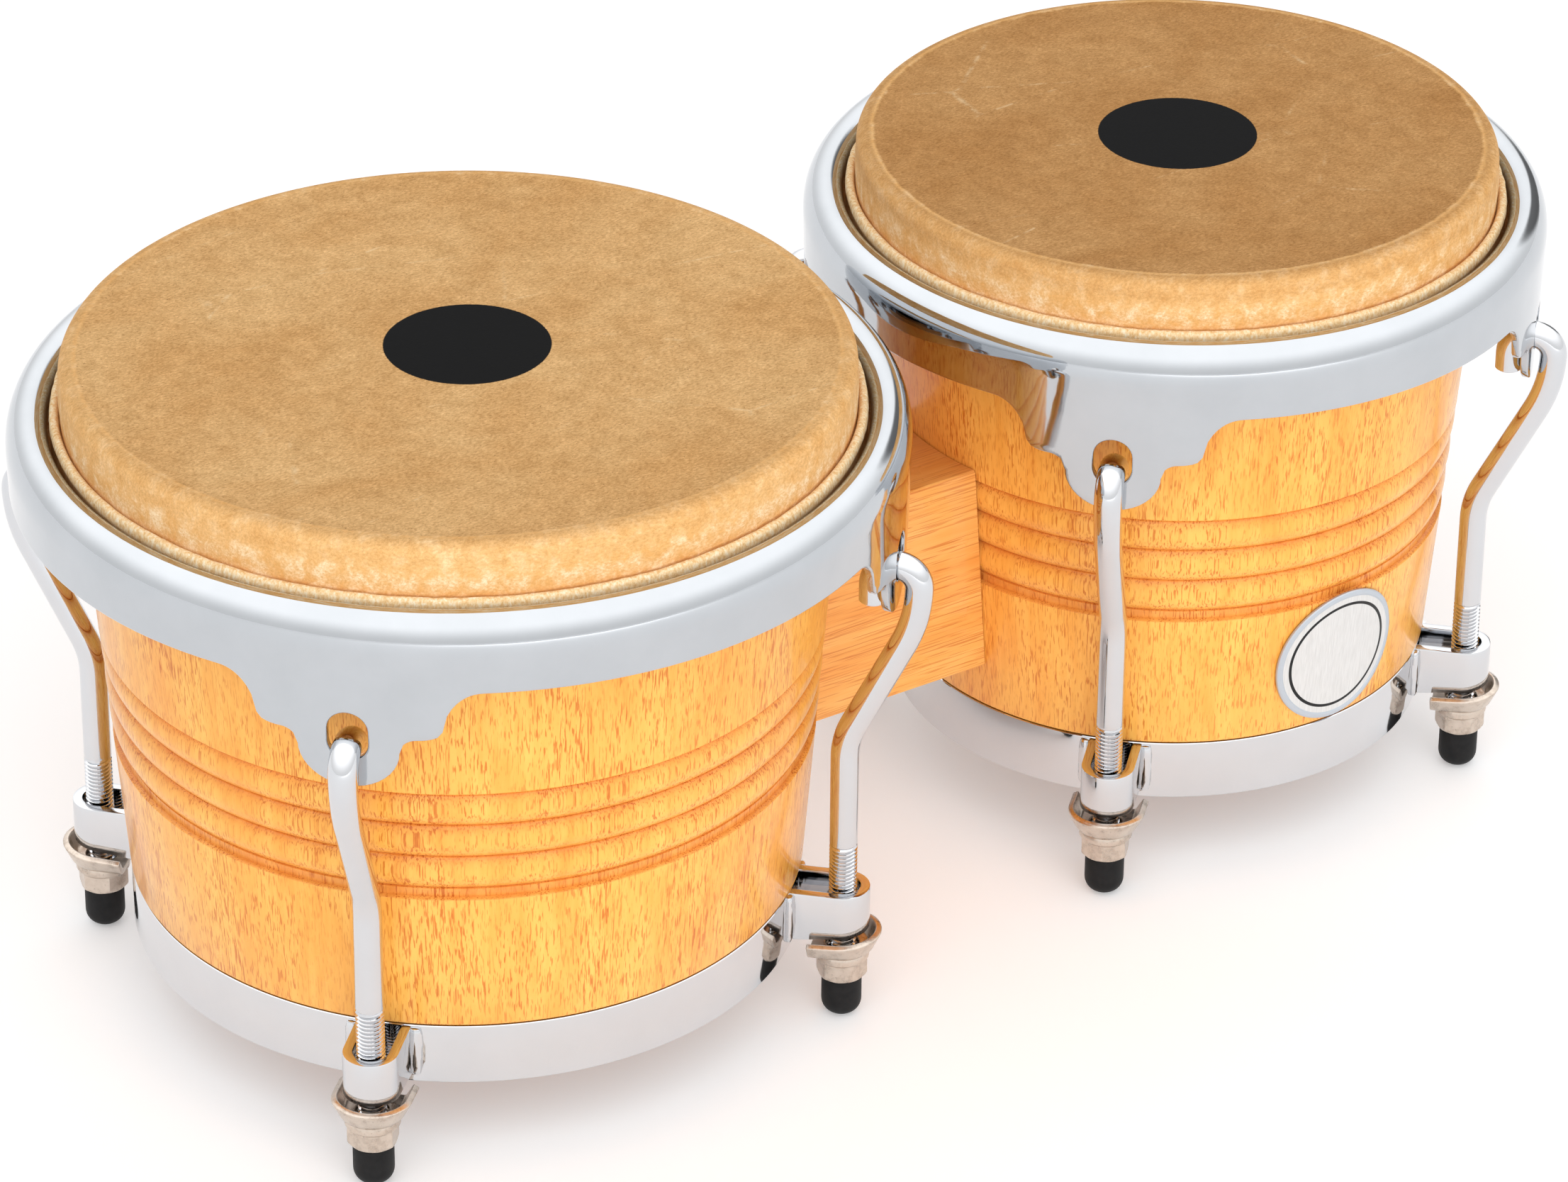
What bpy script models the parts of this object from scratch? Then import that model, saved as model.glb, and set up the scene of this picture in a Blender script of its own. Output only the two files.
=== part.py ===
"""A pair of bongo drums: two wooden shells on a centre block, each with its own tuning hoop.

Metres, +Z up, +X from the large drum to the small one. The drums stand on the rubber caps of
their hook bolts, at z = 0. Each drum is drawn once, about its own axis, from the outer radius of
its bottom ring; the radii below are offsets from that ring radius.
"""
import math

import bmesh
import bpy
from mathutils import Matrix, Vector

# Layout of the pair.
LARGE_RING_RADIUS = 0.0955
SMALL_RING_RADIUS = 0.0796
AXIS_DISTANCE = 0.2432
RIM_OFFSET = 0.0290
LUG_OFFSET = 0.0135
LUG_ANGLES = (45, 135, 225, 315)
SEGMENTS = 36
GAP = 0.0004

# Wooden shell.
SHELL_BOTTOM = 0.0262
SHELL_TOP = 0.20025
SHELL_WALL = 0.0095
SHELL_FOOT_OFFSET = -0.0012
SHELL_FOOT_HEIGHT = 0.025
SHELL_TAPER = 0.0765
EDGE_ROUND = 0.0027
BEAD_BOTTOM = 0.0893
BEAD_HEIGHT = 0.0104
BEAD_COUNT = 3
BEAD_DEPTH = 0.0019
GROOVE_BOTTOM = 0.0862
GROOVE_DEPTH = 0.0014

# Chromed bottom ring and its welded lug brackets.
RING_BOTTOM = 0.0243
RING_TOP = 0.0428
RING_WALL = 0.0022
RING_FLANGE = 0.0100
RING_FLANGE_THICKNESS = 0.0015
BRACKET_RADIUS = 0.00785
BRACKET_BAR = 0.0029
BRACKET_TOP = 0.0425
BRACKET_NOSE_BOTTOM = 0.0293
BRACKET_ROOT_BOTTOM = 0.0268

# Rawhide head, its flesh ring and the tuning rim.
SKIN_TOP = 0.2021
SKIN_THICKNESS = 0.0015
SKIN_SHOULDER = 0.0040
SKIN_OFFSET = 0.01375
SKIN_WRAP_BOTTOM = 0.1862
TUCK_OFFSET = 0.0179
TUCK_HEIGHT = 0.1735
TUCK_RADIUS = 0.00355
TUCK_THICKNESS = 0.0013
TUCK_LIP_TOP = 0.1874
FLESH_WIRE_RADIUS = 0.0020
RIM_SHEET = 0.0023
RIM_FLANGE_OFFSET = 0.0185
RIM_FLANGE_BOTTOM = 0.1781
RIM_FLANGE_TOP = 0.1823
RIM_CROWN_OFFSET = 0.0225
RIM_CROWN_TOP = 0.1863
RIM_WALL_TOP = 0.1800
RIM_WALL_BOTTOM = 0.1660
RIM_LEAN = 0.025
TAB_TIP = 0.1358
TAB_HALF_WIDTH = 0.0335
SLOT_BOTTOM = 0.1439
SLOT_TOP = 0.1585
SLOT_WIDTH = 0.0112

# Hook bolts, nuts, dished washers and rubber caps.
BOLT_RADIUS = 0.00405
BOLT_BOTTOM = 0.0026
KNEE_HEIGHT = 0.085
KNEE_RADIUS = 0.025
UPPER_BEND_RADIUS = 0.042
HOOK_OFFSET = 0.0137
HOOK_HEIGHT = 0.1419
HOOK_RADIUS = 0.00645
HOOK_TIP = 0.1362
NUT_BOTTOM = 0.0130
NUT_FLANGE_BOTTOM = 0.0184
NUT_TOP = 0.0212
NUT_FLAT_RADIUS = 0.0065
NUT_FLANGE_RADIUS = 0.0078
WASHER_BOTTOM = 0.0216
WASHER_FLOOR = 0.0241
WASHER_LIP_NOSE = 0.0287
WASHER_LIP_END = 0.0274
WASHER_FLOOR_RADIUS = 0.0085
WASHER_LIP_RADIUS = 0.0115
WASHER_LEG = 0.0084
WASHER_SHEET = 0.0019
CAP_RADIUS = 0.00575
CAP_TOP = 0.0126
CAP_FLAT = 0.0030
CAP_BORE_BOTTOM = 0.0022

# Centre block, its through bolts and the badge.
BLOCK_HALF_WIDTH = 0.0207
BLOCK_BOTTOM = 0.0574
BLOCK_TOP = 0.1247
THROUGH_BOLT_HEIGHTS = (("lower", 0.0720), ("upper", 0.1050))
THROUGH_BOLT_RADIUS = 0.0040
THROUGH_HEAD_RADIUS = 0.0078
THROUGH_HEAD_THICKNESS = 0.0050
PLATE_THICKNESS = 0.0025
PLATE_HALF_ANGLE = 9
PLATE_MARGIN = 0.0110
BADGE_RADIUS = 0.0215
BADGE_THICKNESS = 0.0012
BADGE_HEIGHT = 0.0660
BADGE_ANGLE = -87

# The pair's box is centred on the origin: its ends are the outer faces of the two rims.
LARGE_AXIS = (LARGE_RING_RADIUS - SMALL_RING_RADIUS - AXIS_DISTANCE) / 2
SMALL_AXIS = LARGE_AXIS + AXIS_DISTANCE


def clear_scene():
    for thing in list(bpy.data.objects):
        bpy.data.objects.remove(thing, do_unlink=True)


def make_material(name, colour, roughness, metallic):
    made = bpy.data.materials.new(name)
    made.use_nodes = True
    shader = made.node_tree.nodes["Principled BSDF"]
    shader.inputs["Base Color"].default_value = (*colour, 1.0)
    shader.inputs["Roughness"].default_value = roughness
    shader.inputs["Metallic"].default_value = metallic
    return made


def make_empty(name, location, parent=None):
    empty = bpy.data.objects.new(name, None)
    empty.location = location
    empty.parent = parent
    bpy.context.collection.objects.link(empty)
    return empty


def make_object(name, bm, material, parent=None, location=(0, 0, 0), turn=0.0):
    bmesh.ops.recalc_face_normals(bm, faces=bm.faces)
    mesh = bpy.data.meshes.new(name)
    bm.to_mesh(mesh)
    bm.free()
    made = bpy.data.objects.new(name, mesh)
    made.location = location
    made.rotation_euler = (0, 0, turn)
    made.parent = parent
    if material:
        mesh.materials.append(material)
    bpy.context.collection.objects.link(made)
    return made


def boolean(target, tools, operation="DIFFERENCE"):
    """Apply each tool solid to the target's mesh, then remove the tool."""
    for tool in tools:
        step = target.modifiers.new("step", "BOOLEAN")
        step.operation = operation
        step.solver = "EXACT"
        step.object = tool
        bpy.context.view_layer.update()
        graph = bpy.context.evaluated_depsgraph_get()
        mesh = bpy.data.meshes.new_from_object(target.evaluated_get(graph))
        target.modifiers.clear()
        old = target.data
        target.data = mesh
        bpy.data.meshes.remove(old)
        bpy.data.objects.remove(tool, do_unlink=True)
    target.data.name = target.name


def arc(centre, radius, start, end, steps):
    """Points on an arc in the section plane; angles in degrees from the outward direction."""
    points = []
    for step in range(steps + 1):
        angle = math.radians(start + (end - start) * step / steps)
        points.append((centre[0] + radius * math.cos(angle), centre[1] + radius * math.sin(angle)))
    return points


def strip(path, thickness):
    """Closed outline of a sheet of even thickness that follows a path."""
    left = []
    right = []
    for index, point in enumerate(path):
        before = Vector(path[max(index - 1, 0)])
        after = Vector(path[min(index + 1, len(path) - 1)])
        along = (after - before).normalized()
        side = Vector((-along.y, along.x)) * thickness / 2
        left.append(tuple(Vector(point) + side))
        right.append(tuple(Vector(point) - side))
    return left + right[::-1]


def bridge(bm, first, second):
    """Faces between two closed rings of vertices; a ring of one vertex is a pole."""
    count = max(len(first), len(second))
    for index in range(count):
        after = (index + 1) % count
        corners = [first[index % len(first)], first[after % len(first)]]
        corners += [second[after % len(second)], second[index % len(second)]]
        corners = list(dict.fromkeys(corners))
        if len(corners) > 2:
            bm.faces.new(corners)


def lathe(outline, segments=SEGMENTS, closed=True):
    """Turn an outline of (radius, height) points about the Z axis."""
    bm = bmesh.new()
    rings = []
    for radius, height in outline:
        if radius < 1e-7:
            rings.append([bm.verts.new((0, 0, height))])
            continue
        ring = []
        for segment in range(segments):
            angle = 2 * math.pi * segment / segments
            ring.append(bm.verts.new((radius * math.cos(angle), radius * math.sin(angle), height)))
        rings.append(ring)
    for index in range(len(rings) if closed else len(rings) - 1):
        bridge(bm, rings[index], rings[(index + 1) % len(rings)])
    return bm


def cylinder_along_x(start, end, radius, height, segments=16):
    bm = lathe([(0, start), (radius, start), (radius, end), (0, end)], segments, closed=False)
    turned = Matrix.Translation((0, 0, height)) @ Matrix.Rotation(math.pi / 2, 4, "Y")
    bmesh.ops.transform(bm, matrix=turned, verts=bm.verts)
    return bm


def shell_radius(ring_radius, height):
    """Outer radius of the tapered shell at a height, without its beads."""
    return ring_radius + SHELL_FOOT_OFFSET + SHELL_TAPER * (height - SHELL_FOOT_HEIGHT)


def bead_band(ring_radius):
    """Outer profile of the flat groove and the row of half-round beads above it."""
    points = [
        (shell_radius(ring_radius, GROOVE_BOTTOM), GROOVE_BOTTOM),
        (shell_radius(ring_radius, GROOVE_BOTTOM) - GROOVE_DEPTH, GROOVE_BOTTOM + 0.0003),
        (shell_radius(ring_radius, BEAD_BOTTOM) - GROOVE_DEPTH, BEAD_BOTTOM - 0.0003),
    ]
    for bead in range(BEAD_COUNT):
        for step in range(0 if bead == 0 else 1, 5):
            turn = math.pi * step / 4
            height = BEAD_BOTTOM + BEAD_HEIGHT * (bead + (1 - math.cos(turn)) / 2)
            depth = BEAD_DEPTH * (1 - math.sin(turn) ** 0.7)
            points.append((shell_radius(ring_radius, height) - depth, height))
    height = BEAD_BOTTOM + BEAD_HEIGHT * BEAD_COUNT + 0.0006
    points.append((shell_radius(ring_radius, height), height))
    return points


def shell_outline(ring_radius):
    rebate = ring_radius - RING_WALL - GAP
    top_radius = shell_radius(ring_radius, SHELL_TOP - EDGE_ROUND)
    inner_foot = shell_radius(ring_radius, SHELL_BOTTOM) - SHELL_WALL
    inner_top = shell_radius(ring_radius, SHELL_TOP) - SHELL_WALL
    points = [(inner_foot, SHELL_BOTTOM), (rebate, SHELL_BOTTOM), (rebate, RING_TOP + GAP)]
    foot = RING_TOP + 2 * GAP
    points.append((shell_radius(ring_radius, foot), foot))
    points += bead_band(ring_radius)
    crown = (top_radius - EDGE_ROUND, SHELL_TOP - EDGE_ROUND)
    points += arc(crown, EDGE_ROUND, 0, 90, 3)
    points.append((inner_top, SHELL_TOP - 0.0050))
    return points


def ring_outline(ring_radius):
    return [
        (ring_radius, RING_BOTTOM),
        (ring_radius, RING_TOP),
        (ring_radius - RING_WALL, RING_TOP),
        (ring_radius - RING_WALL, RING_BOTTOM + RING_FLANGE_THICKNESS),
        (ring_radius - RING_FLANGE, RING_BOTTOM + RING_FLANGE_THICKNESS),
        (ring_radius - RING_FLANGE, RING_BOTTOM),
    ]


def u_outline(radius, leg, steps=8):
    """Plan of a U that wraps the bolt: a half circle outwards and two legs towards the drum."""
    points = [(-leg, -radius)]
    for step in range(steps + 1):
        angle = math.pi * (step / steps - 0.5)
        points.append((radius * math.cos(angle), radius * math.sin(angle)))
    points.append((-leg, radius))
    return points


def loft(outlines):
    """Closed solid through plans of equal length, each a list of (x, y, z) points."""
    bm = bmesh.new()
    rings = [[bm.verts.new(point) for point in outline] for outline in outlines]
    for lower, upper in zip(rings, rings[1:]):
        bridge(bm, lower, upper)
    bm.faces.new(rings[0][::-1])
    bm.faces.new(rings[-1])
    return bm


def lifted(outline, height):
    """Plan points at a height, which is a number or a function of x."""
    level = height if callable(height) else (lambda x: height)
    return [(x, y, level(x)) for x, y in outline]


def bracket_bottom(x):
    share = (BRACKET_RADIUS - x) / (BRACKET_RADIUS + LUG_OFFSET)
    return BRACKET_NOSE_BOTTOM + (BRACKET_ROOT_BOTTOM - BRACKET_NOSE_BOTTOM) * share


def washer_lip(x):
    share = (WASHER_LIP_RADIUS - x) / (WASHER_LIP_RADIUS + WASHER_LEG)
    return WASHER_LIP_NOSE + (WASHER_LIP_END - WASHER_LIP_NOSE) * share


def lug_place(ring_radius, angle):
    radius = ring_radius + LUG_OFFSET
    return radius * math.cos(math.radians(angle)), radius * math.sin(math.radians(angle)), 0


def build_bracket(ring_radius, angle, parent):
    """One U-shaped flat bar that stands off the ring and surrounds the bolt."""
    leg = LUG_OFFSET + RING_WALL * 0.6
    outer = u_outline(BRACKET_RADIUS, leg)
    bm = loft([lifted(outer, bracket_bottom), lifted(outer, BRACKET_TOP)])
    place = lug_place(ring_radius, angle)
    turn = math.radians(angle)
    bar = make_object("bracket", bm, None, parent, place, turn)
    inner = u_outline(BRACKET_RADIUS - BRACKET_BAR, LUG_OFFSET + 0.02)
    opening = loft([lifted(inner, 0.01), lifted(inner, 0.06)])
    boolean(bar, [make_object("opening", opening, None, parent, place, turn)])
    return bar


def build_bottom_ring(name, ring_radius, material, parent):
    ring = make_object(name + "_bottom_ring", lathe(ring_outline(ring_radius)), material, parent)
    brackets = [build_bracket(ring_radius, angle, parent) for angle in LUG_ANGLES]
    boolean(ring, brackets, "UNION")
    return ring


def rim_lower_edge(offset):
    """Height of the rim's lower edge at an arc length from a lug: a tab with an ogee outline."""
    edge = abs(offset)
    nose = 0.0140
    shoulder = 0.0180
    corner = 0.0225
    lobe_top = 0.1474
    shoulder_top = 0.1514
    if edge < nose:
        return lobe_top - (lobe_top - TAB_TIP) * math.sqrt(1 - (edge / nose) ** 2)
    if edge < shoulder:
        fall = (shoulder - edge) / (shoulder - nose)
        return lobe_top + (shoulder_top - lobe_top) * math.sqrt(max(0.0, 1 - fall * fall))
    if edge < corner:
        rise = (edge - shoulder) / (corner - shoulder)
        return shoulder_top + 0.0026 * (1 - math.sqrt(max(0.0, 1 - rise * rise)))
    if edge < TAB_HALF_WIDTH:
        fall = (TAB_HALF_WIDTH - edge) / (TAB_HALF_WIDTH - corner)
        start = shoulder_top + 0.0026
        return start + (RIM_WALL_BOTTOM - start) * (max(0.0, 1 - fall ** 2.2)) ** 0.6
    return RIM_WALL_BOTTOM


def rim_section(ring_radius, lower_edge):
    """Section of the rim: inner flange, rounded crown and outer wall down to its lower edge."""
    wall = ring_radius + RIM_OFFSET - RIM_SHEET / 2
    foot = wall - RIM_LEAN * (RIM_WALL_TOP - lower_edge)
    flange = ring_radius + RIM_FLANGE_OFFSET
    crown = ring_radius + RIM_CROWN_OFFSET
    path = [(foot, lower_edge), (wall, RIM_WALL_TOP)]
    for turn in (40, 90):
        angle = math.radians(turn)
        across = crown + (wall - crown) * math.cos(angle)
        path.append((across, RIM_WALL_TOP + (RIM_CROWN_TOP - RIM_WALL_TOP) * math.sin(angle)))
    path.append((flange, RIM_FLANGE_TOP))
    path.append((flange, RIM_FLANGE_BOTTOM))
    return strip(path, RIM_SHEET)


def rim_columns(ring_radius):
    """Angles round the rim, closer together where the tabs' outline bends."""
    half = (0.0, 0.0070, 0.0120, 0.0139, 0.0180, 0.0224, 0.0250, TAB_HALF_WIDTH)
    wall = ring_radius + RIM_OFFSET
    angles = []
    for lug in LUG_ANGLES:
        for offset in [-step for step in half[:0:-1]] + list(half):
            angles.append((math.radians(lug) + offset / wall, offset))
        spare = math.pi / 2 - 2 * half[-1] / wall
        for step in range(1, 6):
            angles.append((math.radians(lug) + half[-1] / wall + spare * step / 6, 1.0))
    return angles


def build_rim(name, ring_radius, material, parent):
    bm = bmesh.new()
    columns = []
    for angle, offset in rim_columns(ring_radius):
        section = rim_section(ring_radius, rim_lower_edge(offset))
        turned = Matrix.Rotation(angle, 3, "Z")
        columns.append([bm.verts.new(turned @ Vector((r, 0, z))) for r, z in section])
    for index, column in enumerate(columns):
        bridge(bm, column, columns[(index + 1) % len(columns)])
    rim = make_object(name + "_rim", bm, material, parent)
    cutters = []
    for lug in LUG_ANGLES:
        half = SLOT_WIDTH / 2
        plan = arc((0, SLOT_TOP - half), half, 0, 180, 8) + arc((0, SLOT_BOTTOM + half), half, 180, 360, 8)
        inner = ring_radius + LUG_OFFSET
        slot = loft([[(inner, x, z) for x, z in plan], [(inner + 0.03, x, z) for x, z in plan]])
        cutters.append(make_object("slot", slot, None, parent, turn=math.radians(lug)))
    boolean(rim, cutters)
    return rim


def head_outline(ring_radius):
    outer = ring_radius + SKIN_OFFSET
    inner = outer - SKIN_THICKNESS + 0.0001
    centre = (outer - SKIN_SHOULDER, SKIN_TOP - SKIN_SHOULDER)
    points = [(0, SKIN_TOP)]
    points += arc(centre, SKIN_SHOULDER, 90, 0, 3)
    points.append((outer, SKIN_WRAP_BOTTOM))
    points.append((inner, SKIN_WRAP_BOTTOM))
    points += arc(centre, inner - centre[0], 0, 90, 3)
    points.append((0, points[-1][1]))
    return points


def tuck_outline(ring_radius):
    """Section of the skin where it wraps the flesh ring and stands up inside the rim."""
    centre = (ring_radius + TUCK_OFFSET, TUCK_HEIGHT)
    path = [(ring_radius + 0.0152, TUCK_LIP_TOP)]
    path += arc(centre, TUCK_RADIUS, 125, -190, 5)
    return strip(path, TUCK_THICKNESS)


def flesh_ring_outline(ring_radius):
    return arc((ring_radius + TUCK_OFFSET, TUCK_HEIGHT), FLESH_WIRE_RADIUS, 0, 300, 5)


def hook_path():
    """Centre line of a hook bolt, as (outward, up) from the bolt's own foot."""
    rise = HOOK_HEIGHT - KNEE_HEIGHT
    reach = HOOK_OFFSET + HOOK_RADIUS
    bends = KNEE_RADIUS + UPPER_BEND_RADIUS
    spread = math.hypot(rise, bends - reach)
    lean = math.degrees(math.atan2(rise, bends - reach) - math.acos(bends / spread))
    path = [(0, BOLT_BOTTOM)]
    path += arc((KNEE_RADIUS, KNEE_HEIGHT), KNEE_RADIUS, 180, 180 - lean, 3)
    path += arc((reach - UPPER_BEND_RADIUS, HOOK_HEIGHT), UPPER_BEND_RADIUS, -lean, 0, 3)
    path += arc((HOOK_OFFSET, HOOK_HEIGHT), HOOK_RADIUS, 22.5, 180, 7)
    path.append((HOOK_OFFSET - HOOK_RADIUS, HOOK_TIP))
    return path


def sweep(path, radius, sides=8):
    """Round bar along a path in the local XZ plane."""
    bm = bmesh.new()
    rings = []
    for index, (x, z) in enumerate(path):
        before = Vector(path[max(index - 1, 0)])
        after = Vector(path[min(index + 1, len(path) - 1)])
        along = (after - before).normalized()
        side = Vector((along.y, 0, -along.x))
        ring = []
        for step in range(sides):
            angle = 2 * math.pi * (step + 0.5) / sides
            offset = side * math.cos(angle) + Vector((0, math.sin(angle), 0))
            ring.append(bm.verts.new(Vector((x, 0, z)) + offset * radius))
        rings.append(ring)
    for lower, upper in zip(rings, rings[1:]):
        bridge(bm, lower, upper)
    bm.faces.new(rings[0][::-1])
    bm.faces.new(rings[-1])
    return bm


def cap_outline():
    bore = BOLT_RADIUS + GAP
    round_off = CAP_RADIUS - CAP_FLAT
    points = [(0, 0), (CAP_FLAT, 0)]
    for turn in (-60, -30, 0):
        angle = math.radians(turn)
        points.append((CAP_FLAT + round_off * math.cos(angle), 0.0046 * (1 + math.sin(angle))))
    points += [(CAP_RADIUS, CAP_TOP), (bore, CAP_TOP), (bore, CAP_BORE_BOTTOM), (0, CAP_BORE_BOTTOM)]
    return points


def hex_ring(flat_radius, height, flatten=1.0):
    """Twelve points round a hexagon; flatten 0 gives a circle through its flats' radius."""
    points = []
    for step in range(12):
        corner = flat_radius / math.cos(math.pi / 6)
        reach = flat_radius + (corner - flat_radius) * flatten if step % 2 == 0 else flat_radius
        angle = math.pi * step / 6
        points.append((reach * math.cos(angle), reach * math.sin(angle), height))
    return points


def build_hex_nut(levels, bore, top, bottom):
    """Nut from rings of twelve points, bottom first, with a plain round bore."""
    bm = bmesh.new()
    plans = levels + [hex_ring(bore, top, 0.0), hex_ring(bore, bottom, 0.0)]
    rings = [[bm.verts.new(point) for point in plan] for plan in plans]
    for index, ring in enumerate(rings):
        bridge(bm, ring, rings[(index + 1) % len(rings)])
    return bm


def flange_nut():
    levels = [
        hex_ring(NUT_FLAT_RADIUS, NUT_BOTTOM),
        hex_ring(NUT_FLAT_RADIUS, NUT_FLANGE_BOTTOM),
        hex_ring(NUT_FLANGE_RADIUS, NUT_FLANGE_BOTTOM + 0.0008, 0.0),
        hex_ring(NUT_FLANGE_RADIUS, NUT_TOP, 0.0),
    ]
    return build_hex_nut(levels, BOLT_RADIUS + GAP, NUT_TOP, NUT_BOTTOM)


def build_washer(name, material, parent, place, turn):
    """Dished washer: a U-shaped cup under the bracket, open towards the drum."""
    floor = u_outline(WASHER_FLOOR_RADIUS, WASHER_LEG)
    lip = u_outline(WASHER_LIP_RADIUS, WASHER_LEG)
    solid = loft([lifted(floor, WASHER_BOTTOM), lifted(lip, washer_lip)])
    washer = make_object(name, solid, material, parent, place, turn)
    slope = (WASHER_LIP_RADIUS - WASHER_FLOOR_RADIUS) / (WASHER_LIP_NOSE - WASHER_BOTTOM)
    top = WASHER_LIP_NOSE + 0.002
    low = u_outline(WASHER_FLOOR_RADIUS - WASHER_SHEET, WASHER_LEG + 0.01)
    high_radius = WASHER_FLOOR_RADIUS - WASHER_SHEET + slope * 1.15 * (top - WASHER_FLOOR)
    high = u_outline(high_radius, WASHER_LEG + 0.01)
    dish = loft([lifted(low, WASHER_FLOOR), lifted(high, top)])
    hole = lathe([(0, 0.01), (BOLT_RADIUS + 0.0006, 0.01), (BOLT_RADIUS + 0.0006, 0.04), (0, 0.04)], 12, False)
    tools = [make_object("dish", dish, None, parent, place, turn)]
    tools.append(make_object("hole", hole, None, parent, place, turn))
    boolean(washer, tools)
    return washer


def through_holes(centre, start, end, radius):
    """Cutters along X for the two through bolts."""
    holes = []
    for label, height in THROUGH_BOLT_HEIGHTS:
        bm = cylinder_along_x(start, end, radius, height)
        holes.append(make_object("hole_" + label, bm, None, None, (centre, 0, 0)))
    return holes


def build_shell(name, ring_radius, facing, material, parent):
    """Turned shell, drilled for the through bolts on the side that faces the block."""
    outline = shell_outline(ring_radius)
    shell = make_object(name + "_shell", lathe(outline), material, parent)
    start, end = sorted((facing * (ring_radius - 0.03), facing * (ring_radius + 0.03)))
    bpy.context.view_layer.update()
    boolean(shell, through_holes(parent.location.x, start, end, THROUGH_BOLT_RADIUS + GAP))
    return shell


def build_plate(name, ring_radius, facing, material, parent):
    """Curved backing plate against the inside of the shell."""
    bottom = BLOCK_BOTTOM + PLATE_MARGIN / 2
    top = BLOCK_TOP - PLATE_MARGIN / 2
    bm = bmesh.new()
    columns = []
    middle = 0 if facing > 0 else 180
    for step in range(7):
        angle = math.radians(middle + PLATE_HALF_ANGLE * (step / 3 - 1))
        turned = Matrix.Rotation(angle, 3, "Z")
        column = []
        for height, inset in ((bottom, 0), (top, 0), (top, PLATE_THICKNESS), (bottom, PLATE_THICKNESS)):
            radius = shell_radius(ring_radius, height) - SHELL_WALL - GAP - 0.0007 - inset
            column.append(bm.verts.new(turned @ Vector((radius, 0, height))))
        columns.append(column)
    for first, second in zip(columns, columns[1:]):
        bridge(bm, first, second)
    bm.faces.new(columns[0])
    bm.faces.new(columns[-1][::-1])
    plate = make_object(name + "_backing_plate", bm, material, parent)
    start, end = sorted((facing * (ring_radius - 0.03), facing * (ring_radius + 0.03)))
    bpy.context.view_layer.update()
    boolean(plate, through_holes(parent.location.x, start, end, THROUGH_BOLT_RADIUS + GAP))
    return plate


def plate_face(ring_radius, height):
    """Distance from a drum's axis to the inner face of its backing plate at a height."""
    return shell_radius(ring_radius, height) - SHELL_WALL - GAP - 0.0007 - PLATE_THICKNESS


def build_block(material):
    """Centre block, scribed at both ends to the tapered shells."""
    half = BLOCK_HALF_WIDTH
    corners = [(LARGE_AXIS + 0.08, -half), (SMALL_AXIS - 0.06, -half), (SMALL_AXIS - 0.06, half)]
    corners.append((LARGE_AXIS + 0.08, half))
    solid = loft([lifted(corners, BLOCK_BOTTOM), lifted(corners, BLOCK_TOP)])
    block = make_object("centre_block", solid, material)
    tools = []
    for axis, ring_radius in ((LARGE_AXIS, LARGE_RING_RADIUS), (SMALL_AXIS, SMALL_RING_RADIUS)):
        low = BLOCK_BOTTOM - 0.01
        high = BLOCK_TOP + 0.01
        cone = [(0, low), (shell_radius(ring_radius, low) + GAP, low)]
        cone += [(shell_radius(ring_radius, high) + GAP, high), (0, high)]
        tools.append(make_object("scribe", lathe(cone, closed=False), None, None, (axis, 0, 0)))
    tools += through_holes(0, LARGE_AXIS, SMALL_AXIS, THROUGH_BOLT_RADIUS + GAP)
    boolean(block, tools)
    return block


def build_through_bolts(material):
    """Headed bolt from inside the small shell to a nut inside the large one, twice."""
    for label, height in THROUGH_BOLT_HEIGHTS:
        drop = 0.0008
        seat = SMALL_AXIS - plate_face(SMALL_RING_RADIUS, height) + drop
        far = LARGE_AXIS + plate_face(LARGE_RING_RADIUS, height) - drop
        tip = far - 0.0085
        outline = [(0, tip), (THROUGH_BOLT_RADIUS, tip), (THROUGH_BOLT_RADIUS, seat)]
        outline += [(THROUGH_HEAD_RADIUS, seat), (THROUGH_HEAD_RADIUS, seat + THROUGH_HEAD_THICKNESS)]
        outline.append((0, seat + THROUGH_HEAD_THICKNESS))
        turned = Matrix.Translation((0, 0, height)) @ Matrix.Rotation(math.pi / 2, 4, "Y")
        bm = lathe(outline, 16, False)
        bmesh.ops.transform(bm, matrix=turned, verts=bm.verts)
        make_object("through_bolt_" + label, bm, material)
        levels = [hex_ring(NUT_FLAT_RADIUS, far - 0.0065), hex_ring(NUT_FLAT_RADIUS, far)]
        bm = build_hex_nut(levels, THROUGH_BOLT_RADIUS + GAP, far, far - 0.0065)
        bmesh.ops.transform(bm, matrix=turned, verts=bm.verts)
        make_object("through_nut_" + label, bm, material)


def build_badge(material, parent):
    """Round plain badge, bent to the small shell."""
    bm = bmesh.new()
    layers = []
    for lift in (GAP, GAP + BADGE_THICKNESS):
        rings = []
        for share in (0.0, 0.5, 1.0):
            ring = []
            for step in range(1 if share == 0 else 24):
                angle = 2 * math.pi * step / 24
                height = BADGE_HEIGHT + BADGE_RADIUS * share * math.sin(angle)
                radius = shell_radius(SMALL_RING_RADIUS, height) + lift
                swing = math.radians(BADGE_ANGLE) + BADGE_RADIUS * share * math.cos(angle) / radius
                point = Matrix.Rotation(swing, 3, "Z") @ Vector((radius, 0, height))
                ring.append(bm.verts.new(point))
            rings.append(ring)
        layers.append(rings)
    for rings in layers:
        for inner, outer in zip(rings, rings[1:]):
            bridge(bm, inner, outer)
    bridge(bm, layers[0][-1], layers[1][-1])
    make_object("shell_badge", bm, material, parent)


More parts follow.
